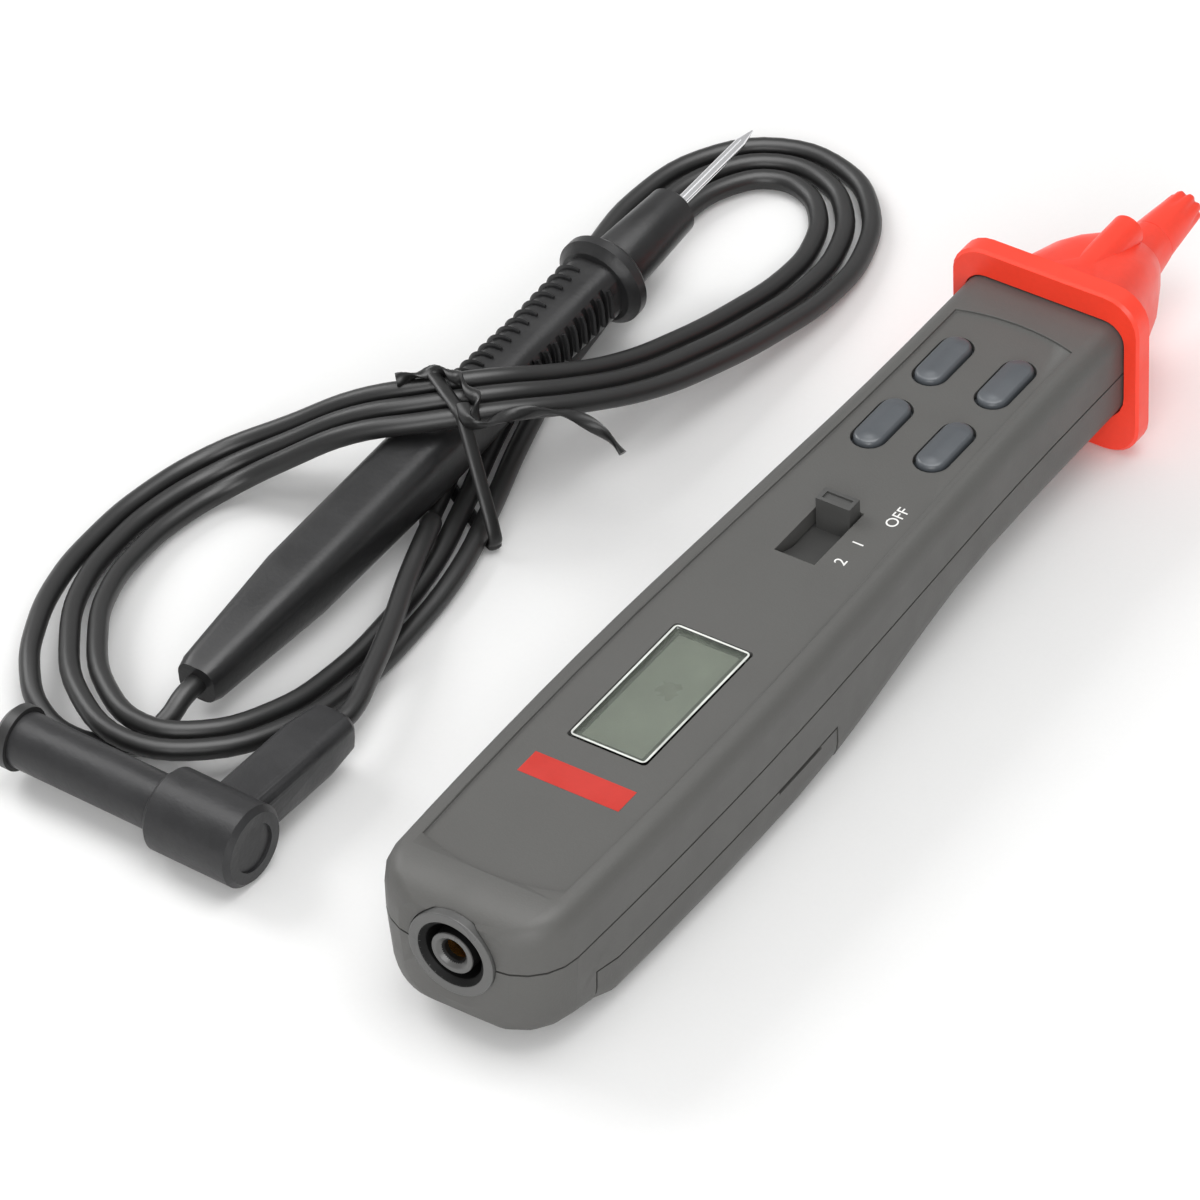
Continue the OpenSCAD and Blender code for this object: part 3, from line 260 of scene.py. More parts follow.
CASE = Finish(
    "case_eroded_plastic", (0.084, 0.083, 0.079), 0.5, spacing=0.0004, depth=0.00003,
    mottle=0.035, gloss_change=0.05, specular=0.4)
KEY = Finish("key_silicone", (0.072, 0.08, 0.089), 0.36, spacing=0.0004, depth=0.00001, mottle=0.05)
KNOB = Finish("knob_plastic", (0.062, 0.062, 0.06), 0.4, spacing=0.0004, depth=0.00002, mottle=0.04)
SOCKET = Finish("socket_plastic", (0.085, 0.085, 0.083), 0.32, spacing=0.0006, depth=0.000008, mottle=0.04)
NOSE = Finish("nose_red_plastic", (0.92, 0.048, 0.02), 0.38, spacing=0.0007, depth=0.000008, mottle=0.04)
STRIP = Finish("red_strip_print", (0.52, 0.026, 0.016), 0.35, spacing=0.0006, depth=0.000004, mottle=0.05)
PRINT = Finish("white_print", (0.84, 0.84, 0.82), 0.5, spacing=0.0004, depth=0.000004, mottle=0.05)
WINDOW = Finish(
    "clear_window", (0.97, 0.99, 0.98), 0.03, grain=Grain.POLISHED, spacing=0.006, depth=0.00001,
    mottle=0.0, gloss_change=0.02, transmission=1.0, ior=1.49)
# Pale colour for a thin band on the window's edge: a painted highlight, the light caught by the pane's edges.
WINDOW_EDGE_PAINTED_HIGHLIGHT = Finish(
    "window_edge_painted_highlight", (0.7, 0.72, 0.68), 0.2, grain=Grain.POLISHED, spacing=0.002, depth=0.00001,
    mottle=0.3, patch=0.006, gloss_change=0.1)
# The display's own grey-green, with broad mottle stretched along the meter as painted reflection: the wavy
# light and dark of a film over it.
LCD = Finish(
    "lcd_glass_with_painted_reflection", (0.27, 0.3, 0.235), 0.3, grain=Grain.RIPPLED_WITH_PAINTED_REFLECTION, spacing=0.005, depth=0.0,
    mottle=0.12, patch=0.009, gloss_change=0.04)
# A darker band in the display's own border colour; its stretched mottle is painted reflection, as on the
# display.
LCD_BORDER = Finish(
    "lcd_border", (0.13, 0.15, 0.115), 0.3, grain=Grain.RIPPLED_WITH_PAINTED_REFLECTION, spacing=0.004, depth=0.00005,
    mottle=0.2, patch=0.007)
WHITE_FRAME = Finish("display_frame_plastic", (0.7, 0.7, 0.66), 0.5)
STRIP_RUBBER = Finish("contact_rubber", (0.5, 0.2, 0.24), 0.6)
BOARD = Finish("board_green", (0.015, 0.12, 0.045), 0.35, spacing=0.0008, depth=0.000006)
MAT = Finish("mat_silicone", (0.22, 0.22, 0.22), 0.6)
BRASS = Finish(
    "brass_bright", (0.8, 0.56, 0.22), 0.25, 1.0, Grain.DRAWN, 0.0004, 0.000003, 0.06, gloss_change=0.06)
STEEL = Finish(
    "steel_bright", (0.62, 0.62, 0.64), 0.25, 1.0, Grain.DRAWN, 0.0004, 0.000003, 0.05, gloss_change=0.06)
CHROME = Finish(
    "chrome_needle", (0.86, 0.86, 0.88), 0.1, 1.0, Grain.DRAWN, 0.0004, 0.000002, 0.03, gloss_change=0.03)
LAMP = Finish(
    "lamp_clear", (0.9, 0.94, 1.0), 0.06, grain=Grain.POLISHED, depth=0.0, mottle=0.0,
    gloss_change=0.02, transmission=0.8)
CELL = Finish("cell_jacket", (0.5, 0.33, 0.07), 0.32, spacing=0.0009, depth=0.000004)
# Near black finish for liners in the socket's groove and mouth: painted shade for the depth that light does
# not reach.
SOCKET_PAINTED_SHADE = Finish("socket_painted_shade", (0.006, 0.006, 0.006), 0.6, specular=0.15)
BLACK = Finish("black_plastic", (0.016, 0.016, 0.016), 0.4, specular=0.35)
CERAMIC = Finish("ceramic_body", (0.55, 0.44, 0.28), 0.55)
PLUG = Finish(
    "plug_rubber", (0.02, 0.02, 0.021), 0.4, spacing=0.0009, depth=0.00005, mottle=0.15, specular=0.38)
PROBE = Finish(
    "probe_rubber", (0.015, 0.015, 0.0155), 0.36, spacing=0.0008, depth=0.00003, mottle=0.12, specular=0.36)
JACKET = Finish(
    "lead_jacket", (0.006, 0.006, 0.0065), 0.34, spacing=0.0012, depth=0.000008, mottle=0.1,
    gloss_change=0.05, coat=0.7, specular=0.35)
TIE = Finish("tie_plastic", (0.01, 0.01, 0.01), 0.34, spacing=0.0006, depth=0.00002, specular=0.4)


def dress(obj: bpy.types.Object, finish: Finish) -> None:
    """Gives every face of an object one finish."""
    obj.data.materials.clear()
    obj.data.materials.append(finish.material())


def add_object(name: str, mesh: bpy.types.Mesh) -> bpy.types.Object:
    """Links a mesh to the scene as an object at the origin.

    Args:
        name: the object's name.
        mesh: its mesh.

    Returns:
        The object.
    """
    obj = bpy.data.objects.new(name, mesh)
    bpy.context.scene.collection.objects.link(obj)
    return obj


def settle(
    obj: bpy.types.Object, finish: Finish, body: Body, nodes: tuple[str, ...] = ()
) -> bpy.types.Object:
    """Dresses a finished piece and ties it to its body.

    Args:
        obj: the piece.
        finish: its surface.
        body: the body that it rides on.
        nodes: the CAD nodes that it stands for.

    Returns:
        The piece.
    """
    dress(obj, finish)
    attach(obj, body.value)
    if nodes:
        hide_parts(*nodes)
    LOG.info("%s rides on %s", obj.name, body.value)
    return obj


def keep(node: str, finish: Finish) -> None:
    """Leaves a CAD node as it is, with a better finish."""
    dress(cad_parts[node], finish)
    LOG.info("%s keeps its frame shape", node)


def softened(
    name: str, node: str, edge: float, angle: float = EDGE_ANGLE, shrink: float = 0.0
) -> bpy.types.Object:
    """A copy of a CAD node with its doubles merged and its sharp edges rounded.

    Args:
        name: the piece's name.
        node: the CAD node it is copied from.
        edge: radius of the rounding, in millimetres.
        angle: edges sharper than this, in degrees, are rounded.
        shrink: how far its skin is drawn in, in millimetres.

    Returns:
        The new object.
    """
    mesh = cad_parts[node].data.copy()
    mesh.name = name
    work = bmesh.new()
    work.from_mesh(mesh)
    bmesh.ops.remove_doubles(work, verts=work.verts, dist=MERGE_DISTANCE)
    bmesh.ops.dissolve_limit(
        work, angle_limit=math.radians(FLAT_ANGLE), verts=work.verts, edges=work.edges)
    if shrink:
        work.normal_update()
        for vert in work.verts:
            vert.co -= shrink * MM * vert.normal
    work.to_mesh(mesh)
    work.free()
    mesh.shade_smooth()
    mesh.set_sharp_from_angle(angle=math.radians(angle))
    obj = add_object(name, mesh)
    bevel = obj.modifiers.new("edges", "BEVEL")
    bevel.width = edge * MM
    bevel.segments = EDGE_STEPS
    bevel.limit_method = "ANGLE"
    bevel.angle_limit = math.radians(angle)
    bevel.harden_normals = True
    bevel.use_clamp_overlap = True
    return obj


def loft(
    name: str, rings: list[list[Point]], closed: bool = True, crease: float = CREASE
) -> bpy.types.Object:
    """A skin over rings of points in millimetres, smooth shaded.

    Args:
        name: the piece's name.
        rings: rings of equal length, each counter-clockwise about the loft's direction.
        closed: whether both ends get a face.
        crease: edges sharper than this, in degrees, stay sharp.

    Returns:
        The new object.
    """
    work = bmesh.new()
    rows = [[work.verts.new(mm(p)) for p in ring] for ring in rings]
    count = len(rows[0])
    for lower, upper in zip(rows, rows[1:]):
        for i in range(count):
            j = (i + 1) % count
            work.faces.new((lower[i], lower[j], upper[j], upper[i]))
    if closed:
        work.faces.new(rows[0][::-1])
        work.faces.new(rows[-1])
    bmesh.ops.recalc_face_normals(work, faces=work.faces)
    mesh = bpy.data.meshes.new(name)
    work.to_mesh(mesh)
    work.free()
    mesh.shade_smooth()
    mesh.set_sharp_from_angle(angle=math.radians(crease))
    return add_object(name, mesh)


def turned(
    name: str, profile: Profile, start: Point, way: int = 1, closed: bool = True
) -> bpy.types.Object:
    """A turned shape about a line along Y.

    Args:
        name: the object's name.
        profile: pairs of distance along the axis and radius, in millimetres.
        start: the point on the axis where the distances start.
        way: 1 if it runs to +Y, -1 if it runs to -Y.
        closed: whether both ends get a face.

    Returns:
        The object.
    """
    steps = TURNED_STEPS
    x, y, z = start
    rings = []
    for along, radius in profile:
        r = max(radius, LEAST_RADIUS)
        rings.append([
            (x + r * math.cos(2 * math.pi * i / steps), y + way * along,
             z - way * r * math.sin(2 * math.pi * i / steps)) for i in range(steps)])
    return loft(name, rings, closed)


def stadium(
    x: float, y: float, z: float, length: float, width: float, steps: int = 14
) -> list[Point]:
    """Outline of a slot with round ends, longest along Y, at one height.

    Args:
        x: middle of the slot.
        y: middle of the slot.
        z: height of the outline.
        length: length over the round ends.
        width: width of the slot.
        steps: chords at each end.

    Returns:
        Points, counter-clockwise seen from above.
    """
    r = width / 2
    half = (length - width) / 2
    ring = []
    for end, start in ((1, 0), (-1, 180)):
        for i in range(steps + 1):
            a = math.radians(start + 180 * i / steps)
            ring.append((x + r * math.cos(a), y + end * half + r * math.sin(a), z))
    return ring


class NodeTree:
    """A geometry node tree with named inputs, applied to a route and turned into a mesh."""

    def __init__(
        self, name: str, sizes: dict[str, float], routes: tuple[tuple[Point, ...], ...] = ()
    ) -> None:
        """Makes the tree with its inputs.

        Args:
            name: name of the tree and of the object that it makes.
            sizes: the named inputs, lengths in metres.
            routes: lines of points in millimetres that the tree starts from.
        """
        self.name = name
        self.sizes = sizes
        self.routes = routes
        self.tree = bpy.data.node_groups.new(name, "GeometryNodeTree")
        face = self.tree.interface
        face.new_socket("Geometry", in_out="OUTPUT", socket_type="NodeSocketGeometry")
        face.new_socket("Geometry", in_out="INPUT", socket_type="NodeSocketGeometry")
        for size in sizes:
            face.new_socket(size, in_out="INPUT", socket_type="NodeSocketFloat")
        self.inlet = self.tree.nodes.new("NodeGroupInput")

    def size(self, name: str) -> bpy.types.NodeSocket:
        """The socket of a named input."""
        return self.inlet.outputs[name]

    def node(self, kind: str, links: dict[str, object], **settings: object) -> bpy.types.Node:
        """Adds a node.

        Args:
            kind: the node's type.
            links: for each input's name, the socket that feeds it or its value.
            settings: the node's own properties.

        Returns:
            The node.
        """
        made = self.tree.nodes.new(kind)
        for key, value in settings.items():
            setattr(made, key, value)
        for key, value in links.items():
            if isinstance(value, bpy.types.NodeSocket):
                self.tree.links.new(value, made.inputs[key])
            else:
                made.inputs[key].default_value = value
        return made

    def moved(
        self, shape: bpy.types.NodeSocket, place: Point, turn: Point = (0, 0, 0)
    ) -> bpy.types.NodeSocket:
        """A shape, turned and set in its place.

        Args:
            shape: the socket with the shape.
            place: where it goes, in millimetres.
            turn: angles about each axis, in degrees.

        Returns:
            The moved shape.
        """
        return self.node("GeometryNodeTransform", {
            "Geometry": shape, "Translation": mm(place),
            "Rotation": [math.radians(v) for v in turn]}).outputs[0]

    def together(self, shapes: list[bpy.types.NodeSocket]) -> bpy.types.NodeSocket:
        """Several shapes as one.

        Args:
            shapes: the sockets with the shapes.

        Returns:
            The joined shape.
        """
        join = self.tree.nodes.new("GeometryNodeJoinGeometry")
        for shape in shapes:
            self.tree.links.new(shape, join.inputs[0])
        return join.outputs[0]

    def swept(
        self, curve: bpy.types.NodeSocket, radius: str, sides: int = 10, squash: float = 1.0
    ) -> bpy.types.NodeSocket:
        """A curve with a round or flattened section.

        Args:
            curve: the curve.
            radius: the named input with the section's radius.
            sides: chords round the section.
            squash: thickness of the section as a share of its width.

        Returns:
            The swept mesh.
        """
        ring = self.node("GeometryNodeCurvePrimitiveCircle", {
            "Resolution": sides, "Radius": self.size(radius)})
        flat = self.node("GeometryNodeTransform", {
            "Geometry": ring.outputs[0], "Scale": (1, squash, 1)})
        return self.node("GeometryNodeCurveToMesh", {
            "Curve": curve, "Profile Curve": flat.outputs[0], "Fill Caps": True}).outputs[0]

    def smooth_route(self, tilt: str) -> bpy.types.NodeSocket:
        """The routes as smooth curves that twist evenly from end to end.

        Args:
            tilt: the named input with the whole twist, in radians.

        Returns:
            The curves.
        """
        curve = self.node("GeometryNodeMeshToCurve", {"Mesh": self.size("Geometry")})
        curve = self.node(
            "GeometryNodeCurveSplineType", {"Curve": curve.outputs[0]}, spline_type="CATMULL_ROM")
        curve = self.node("GeometryNodeSetSplineResolution", {
            "Geometry": curve.outputs[0], "Resolution": SMOOTH_STEPS})
        along = self.node("GeometryNodeSplineParameter", {})
        angle = self.tree.nodes.new("ShaderNodeMath")
        angle.operation = "MULTIPLY"
        self.tree.links.new(along.outputs["Factor"], angle.inputs[0])
        self.tree.links.new(self.size(tilt), angle.inputs[1])
        return self.node("GeometryNodeSetCurveTilt", {
            "Curve": curve.outputs[0], "Tilt": angle.outputs[0]}).outputs[0]

    def made(self, shape: bpy.types.NodeSocket, finish: Finish) -> bpy.types.Object:
        """Ends the tree and turns its result into a plain mesh object.

        Args:
            shape: the socket with the shape.
            finish: the surface set on it.

        Returns:
            The new object, with no modifier left on it.
        """
        real = self.node("GeometryNodeRealizeInstances", {"Geometry": shape})
        paint = self.node("GeometryNodeSetMaterial", {
            "Geometry": real.outputs[0], "Material": finish.material()})
        out = self.tree.nodes.new("NodeGroupOutput")
        self.tree.links.new(paint.outputs[0], out.inputs[0])
        start = bpy.data.meshes.new(self.name + "_route")
        points: list[Vector] = []
        edges: list[tuple[int, int]] = []
        for route in self.routes:
            edges += [(len(points) + i, len(points) + i + 1) for i in range(len(route) - 1)]
            points += [mm(p) for p in route]
        start.from_pydata(points, edges, [])
        holder = add_object(self.name + "_source", start)
        modifier = holder.modifiers.new("shape", "NODES")
        modifier.node_group = self.tree
        for item in self.tree.interface.items_tree:
            if item.in_out == "INPUT" and item.name in self.sizes:
                modifier[item.identifier] = self.sizes[item.name]
        bpy.context.view_layer.update()
        graph = bpy.context.evaluated_depsgraph_get()
        mesh = bpy.data.meshes.new_from_object(holder.evaluated_get(graph))
        mesh.name = self.name
        bpy.data.objects.remove(holder)
        mesh.shade_smooth()
        mesh.set_sharp_from_angle(angle=math.radians(CREASE))
        return add_object(self.name, mesh)


@dataclass
class View:
    """The photograph's camera, solved on the meter's known outline. Lengths in metres."""

    azimuth: float = 35.073
    elevation: float = 40.132
    roll: float = -2.505
    distance: float = 1.5
    focal_pixels: float = 8642.52
    frame_pixels: float = 1200.0
    sensor_mm: float = 36.0
    target: Point = (0.0, 0.0, 0.010)
    slide_right: float = -0.041265
    slide_up: float = -0.000649
    far_limit: float = 20.0

    def build(self) -> None:
        """Makes the camera and sets it on the scene."""
        a, e, r = (math.radians(v) for v in (self.azimuth, self.elevation, self.roll))
        back = Vector((math.sin(a) * math.cos(e), -math.cos(a) * math.cos(e), math.sin(e)))
        level = Vector((math.cos(a), math.sin(a), 0))
        steep = back.cross(level)
        right = math.cos(r) * level + math.sin(r) * steep
        up = -math.sin(r) * level + math.cos(r) * steep
        place = Vector(self.target) + self.distance * back
        place += self.slide_right * right + self.slide_up * up
        lens = bpy.data.cameras.new("camera")
        lens.sensor_fit = "HORIZONTAL"
        lens.sensor_width = self.sensor_mm
        lens.lens = self.sensor_mm * self.focal_pixels / self.frame_pixels
        lens.clip_end = self.far_limit
        camera = bpy.data.objects.new("camera", lens)
        turn = Matrix((right, up, back)).transposed().to_4x4()
        camera.matrix_world = Matrix.Translation(place) @ turn
        bpy.context.scene.collection.objects.link(camera)
        bpy.context.scene.camera = camera


@dataclass
class Studio:
    """Plain pale floor and soft lamps, each with its name, place, edge and watts. Lengths in metres."""

    floor_half: float = 4.0
    floor_drop: float = 0.0001
    floor_colour: Colour = (0.9, 0.9, 0.895)
    world_strength: float = 0.55
    patch_edge: float = 0.8
    patch_full: float = 0.93
    patch_strength: float = 4.0
    lamps: tuple[tuple[str, Point, float, float], ...] = (
        ("lamp_top", (0.25, 0.2, 1.6), 1.1, 8.0),
        ("lamp_front", (0.6, -1.2, 0.6), 0.9, 12.0),
        ("lamp_left", (-1.3, 0.1, 1.0), 0.8, 10.0))

    def build(self) -> None:
        """Makes the floor, the world and the lamps."""
        bpy.context.scene.view_settings.view_transform = "Standard"
        self._floor()
        self._world()
        for lamp in self.lamps:
            self._lamp(*lamp)

    def _floor(self) -> None:
        """One large square just under the object."""
        h = self.floor_half
        corners = [(-h, -h), (h, -h), (h, h), (-h, h)]
        mesh = bpy.data.meshes.new("floor")
        mesh.from_pydata([(x, y, -self.floor_drop) for x, y in corners], [], [(0, 1, 2, 3)])
        floor = add_object("floor", mesh)
        finish = Finish(
            "floor_paper", self.floor_colour, 0.9, depth=0.0, mottle=0.01, gloss_change=0.02,
            specular=0.1)
        dress(floor, finish)
        self._clear_from_below(floor.data.materials[0])

    def _clear_from_below(self, mat: bpy.types.Material) -> None:
        """Lets a view from below see through the floor.

        Args:
            mat: the floor's material.
        """
        tree = mat.node_tree
        side = tree.nodes.new("ShaderNodeNewGeometry")
        clear = tree.nodes.new("ShaderNodeBsdfTransparent")
        mix = tree.nodes.new("ShaderNodeMixShader")
        tree.links.new(side.outputs["Backfacing"], mix.inputs["Fac"])
        tree.links.new(tree.nodes["Principled BSDF"].outputs["BSDF"], mix.inputs[1])
        tree.links.new(clear.outputs["BSDF"], mix.inputs[2])
        tree.links.new(mix.outputs["Shader"], tree.nodes["Material Output"].inputs["Surface"])

    def _world(self) -> None:
        """An even white surround, with a bright patch overhead that only reflections see."""
        world = bpy.data.worlds.new("surround")
        world.use_nodes = True
        tree = world.node_tree
        glow = tree.nodes["Background"]
        glow.inputs["Color"].default_value = (1, 1, 1, 1)
        ray = tree.nodes.new("ShaderNodeLightPath")
        place = tree.nodes.new("ShaderNodeTexCoord")
        split = tree.nodes.new("ShaderNodeSeparateXYZ")
        patch = tree.nodes.new("ShaderNodeMapRange")
        patch.interpolation_type = "SMOOTHSTEP"
        patch.inputs["From Min"].default_value = self.patch_edge
        patch.inputs["From Max"].default_value = self.patch_full
        patch.inputs["To Max"].default_value = self.patch_strength
        mirrored = tree.nodes.new("ShaderNodeMath")
        mirrored.operation = "GREATER_THAN"
        only = tree.nodes.new("ShaderNodeMath")
        only.operation = "MULTIPLY_ADD"
        only.inputs[2].default_value = self.world_strength
        tree.links.new(place.outputs["Generated"], split.inputs["Vector"])
        tree.links.new(split.outputs["Z"], patch.inputs["Value"])
        tree.links.new(patch.outputs["Result"], only.inputs[0])
        tree.links.new(ray.outputs["Is Glossy Ray"], mirrored.inputs[0])
        tree.links.new(ray.outputs["Is Transmission Ray"], mirrored.inputs[1])
        tree.links.new(mirrored.outputs[0], only.inputs[1])
        tree.links.new(only.outputs[0], glow.inputs["Strength"])
        bpy.context.scene.world = world

    def _lamp(self, name: str, place: Point, size: float, power: float) -> None:
        """A square soft lamp that faces the object.

        Args:
            name: the lamp's name.
            place: where it hangs.
            size: edge of its panel.
            power: its watts.
        """
        light = bpy.data.lights.new(name, "AREA")
        light.size = size
        light.energy = power
        lamp = bpy.data.objects.new(name, light)
        lamp.location = place
        lamp.rotation_euler = Vector(place).to_track_quat("Z", "Y").to_euler()
        bpy.context.scene.collection.objects.link(lamp)


@dataclass
class Lead:
    """The lead: one unbroken cord from the plug's arm through the hank to the probe. Millimetres."""

    diameter: float = 3.8
    step: float = 4.9
    full_turns: int = 2
    more_knots: int = 24
    plug_face: Point = (-50.4, -104.4, 7.7)
    plug_turn: float = -2.7
    arm_length: float = 33.0
    arm_back: float = 8.0
    length_m: float = 1.43
    inset: float = 0.7
    section_steps: int = 5
    knot_steps: int = 5
    from_probe: tuple[Point, ...] = (
        (-84.8, -82, 4.6), (-86.5, -86, 2.8), (-91, -90, 2), (-98, -92.3, 2.2),
        (-106, -90.3, 3.2), (-113.3, -83.6, 4.4))
    into_hank: tuple[Point, ...] = ((-118.9, -74, 4.7), (-123.4, -61.5, 4.1))
    to_plug: tuple[Point, ...] = (
        (-77, -13.5, 3.2), (-75.5, -15, 4.7), (-74.3, -17, 6.1), (-72.5, -21.5, 7),
        (-68.8, -32, 7.2), (-64, -44, 7.4), (-59.5, -57, 7.7))

    def turn_points(self) -> list[Vector]:
        """One turn of the hank, as in the frame's source.

        Returns:
            The turn's points, in millimetres.
        """
        flat = (
            -110, -73, 6, -117, -60, 4.4, -120, -47, 3, -120, -34, 2.4, -116, -22, 3.4,
            -106, -15, 9.6, -95, -10, 16.6, -84, -4, 19.8, -74, 5, 20.2, -67, 17, 16.5,
            -62, 31, 12, -59, 46, 8.5, -57, 62, 5.5, -56, 78, 3.4, -58, 91, 2.2,
            -63, 101, 2, -71, 107, 2, -81, 107, 2, -89, 99, 2, -92, 85, 2, -90, 68, 2.4,
            -87, 50, 2.8, -84, 32, 3, -79, 13, 3, -73.2, -5, 2.6, -68.4, -22, 2.5, -66.6, -38, 2,
            -66, -55, 2.6, -68, -72, 4.6, -75, -85, 6.2, -86, -90, 6.6, -99, -85, 6.6)
        return [Vector(flat[i:i + 3]) for i in range(0, len(flat), 3)]

    def hank(self) -> list[Vector]:
        """The hank's route: each turn lies one step inside the one before.

        Returns:
            The route's points, in millimetres.
        """
        turn = self.turn_points()
        count = len(turn)
        last = self.full_turns * count + self.more_knots
        route = []
        for i in range(last + 1):
            ahead = turn[(i + 1) % count] - turn[(i - 1) % count]
            ahead.z = 0
            ahead.normalize()
            shift = self.step * (last / 2 - i) / count
            route.append(turn[i % count] + shift * Vector((-ahead.y, ahead.x, 0)))
        return route

    def route(self) -> list[Vector]:
        """The whole route from the plug's arm to the probe's rear.

        Returns:
            The route's points, in millimetres.
        """
        hank = self.hank()
        knots = len(self.into_hank)
        hank[:knots] = [Vector(p) for p in self.into_hank]
        for knot in hank[knots:2 * knots]:
            knot.x += self.inset
        d = self.diameter
        place = Probe().frame()
        rear = place.translation / MM
        head = [rear, rear - d * place.to_3x3().col[1]]
        head += [Vector(p) for p in self.from_probe]
        arm = math.radians(90 + self.plug_turn)
        side = Vector((math.cos(arm), math.sin(arm), 0))
        along = Vector((-math.sin(arm), math.cos(arm), 0))
        end = Vector(self.plug_face) + self.arm_length * side + self.arm_back * along
        tail = [hank[-1] + d * (hank[-1] - hank[-2]).normalized()]
        tail += [Vector(p) for p in self.to_plug]
        tail += [end + d * side, end]
        return (head + hank + tail)[::-1]

    def build(self, probe: list[bpy.types.Object]) -> None:
        """Args:
            probe: the pieces at its far end; not used.
        """
        route = self.route()
        curve = bpy.data.curves.new("lead_cord", "CURVE")
        curve.dimensions = "3D"
        curve.bevel_depth = self.diameter / 2 * MM
        curve.bevel_resolution = self.section_steps
        curve.resolution_u = self.knot_steps
        curve.use_fill_caps = True
        spline = curve.splines.new("BEZIER")
        spline.bezier_points.add(len(route) - 1)
        for knot, place in zip(spline.bezier_points, route):
            knot.co = place * MM
            knot.handle_left_type = knot.handle_right_type = "AUTO"
        cord = bpy.data.objects.new("lead_cord", curve)
        bpy.context.scene.collection.objects.link(cord)
        nodes = ("lead_hank", "lead_probe_run", "lead_plug_run")
        settle(cord, JACKET, Body.METER, nodes)


@dataclass
class Tie:
    """Twist tie round the hank's waist: a band and two twisted ends.

    Millimetres; the turn is in degrees and the twists in radians.
    """

    centre: Point = (-81, -1, 0)
    turn: float = -32
    half_width: float = 1.3
    squash: float = 0.4
    sides: int = 12
    right_twist: float = 9.0
    left_twist: float = 12.0
    outline: Profile = (
        (-10.85, 7), (-10.85, 14.6), (-9, 20.2), (-6.8, 22.45), (0, 22.6), (6.2, 22.45), (8.6, 20.3),
        (14, 12.4), (19.2, 4.4), (19.25, 1.9), (17.6, 0.75), (5, 0.65), (-5.6, 0.75), (-8.6, 2.8),
        (-10.85, 7))
    right_end: tuple[Point, ...] = (
        (-76, -3, 23.2), (-73, -6, 22.8), (-70.3, -4.6, 22), (-67.9, 1.4, 21.4), (-61.9, 8.4, 19.1),
        (-55.9, 10.9, 15.6), (-51.4, 10.4, 13.1))
    left_end: tuple[Point, ...] = (
        (-73, -4.4, 20.8), (-74.4, -1, 23.2), (-78, 1, 23.6), (-84, 3, 23.3), (-91, -2, 21.8))

    def build(self) -> None:
        """Makes the band and both ends as one piece each."""
        angle = math.radians(self.turn)
        x, y, z = self.centre
        band = tuple((x + u * math.cos(angle), y + u * math.sin(angle), z + v) for u, v in self.outline)
        for name, route, twist in (
            ("tie_band", band, 0.0),
            ("tie_end_right", self.right_end, self.right_twist),
            ("tie_end_left", self.left_end, self.left_twist)):
            tree = NodeTree(name, {"Half width": self.half_width * MM, "Twist": twist}, (route,))
            strip = tree.swept(tree.smooth_route("Twist"), "Half width", self.sides, self.squash)
            settle(tree.made(strip, TIE), TIE, Body.METER, ("twist_tie",))


@dataclass
class Plug:
    """Right-angle plug of the lead. Millimetres."""

    edge: float = 0.5
    cap_edge: float = 0.25

    def build(self) -> None:
        """Makes the moulding, its end cap and pin."""
        moulding = softened("plug_moulding", "plug_body", self.edge)
        settle(moulding, PLUG, Body.METER, ("plug_body",))
        cap = softened("plug_end_cap", "plug_cap", self.cap_edge)
        settle(cap, BLACK, Body.PLUG_CAP, ("plug_cap",))
        keep("plug_pin", BRASS)


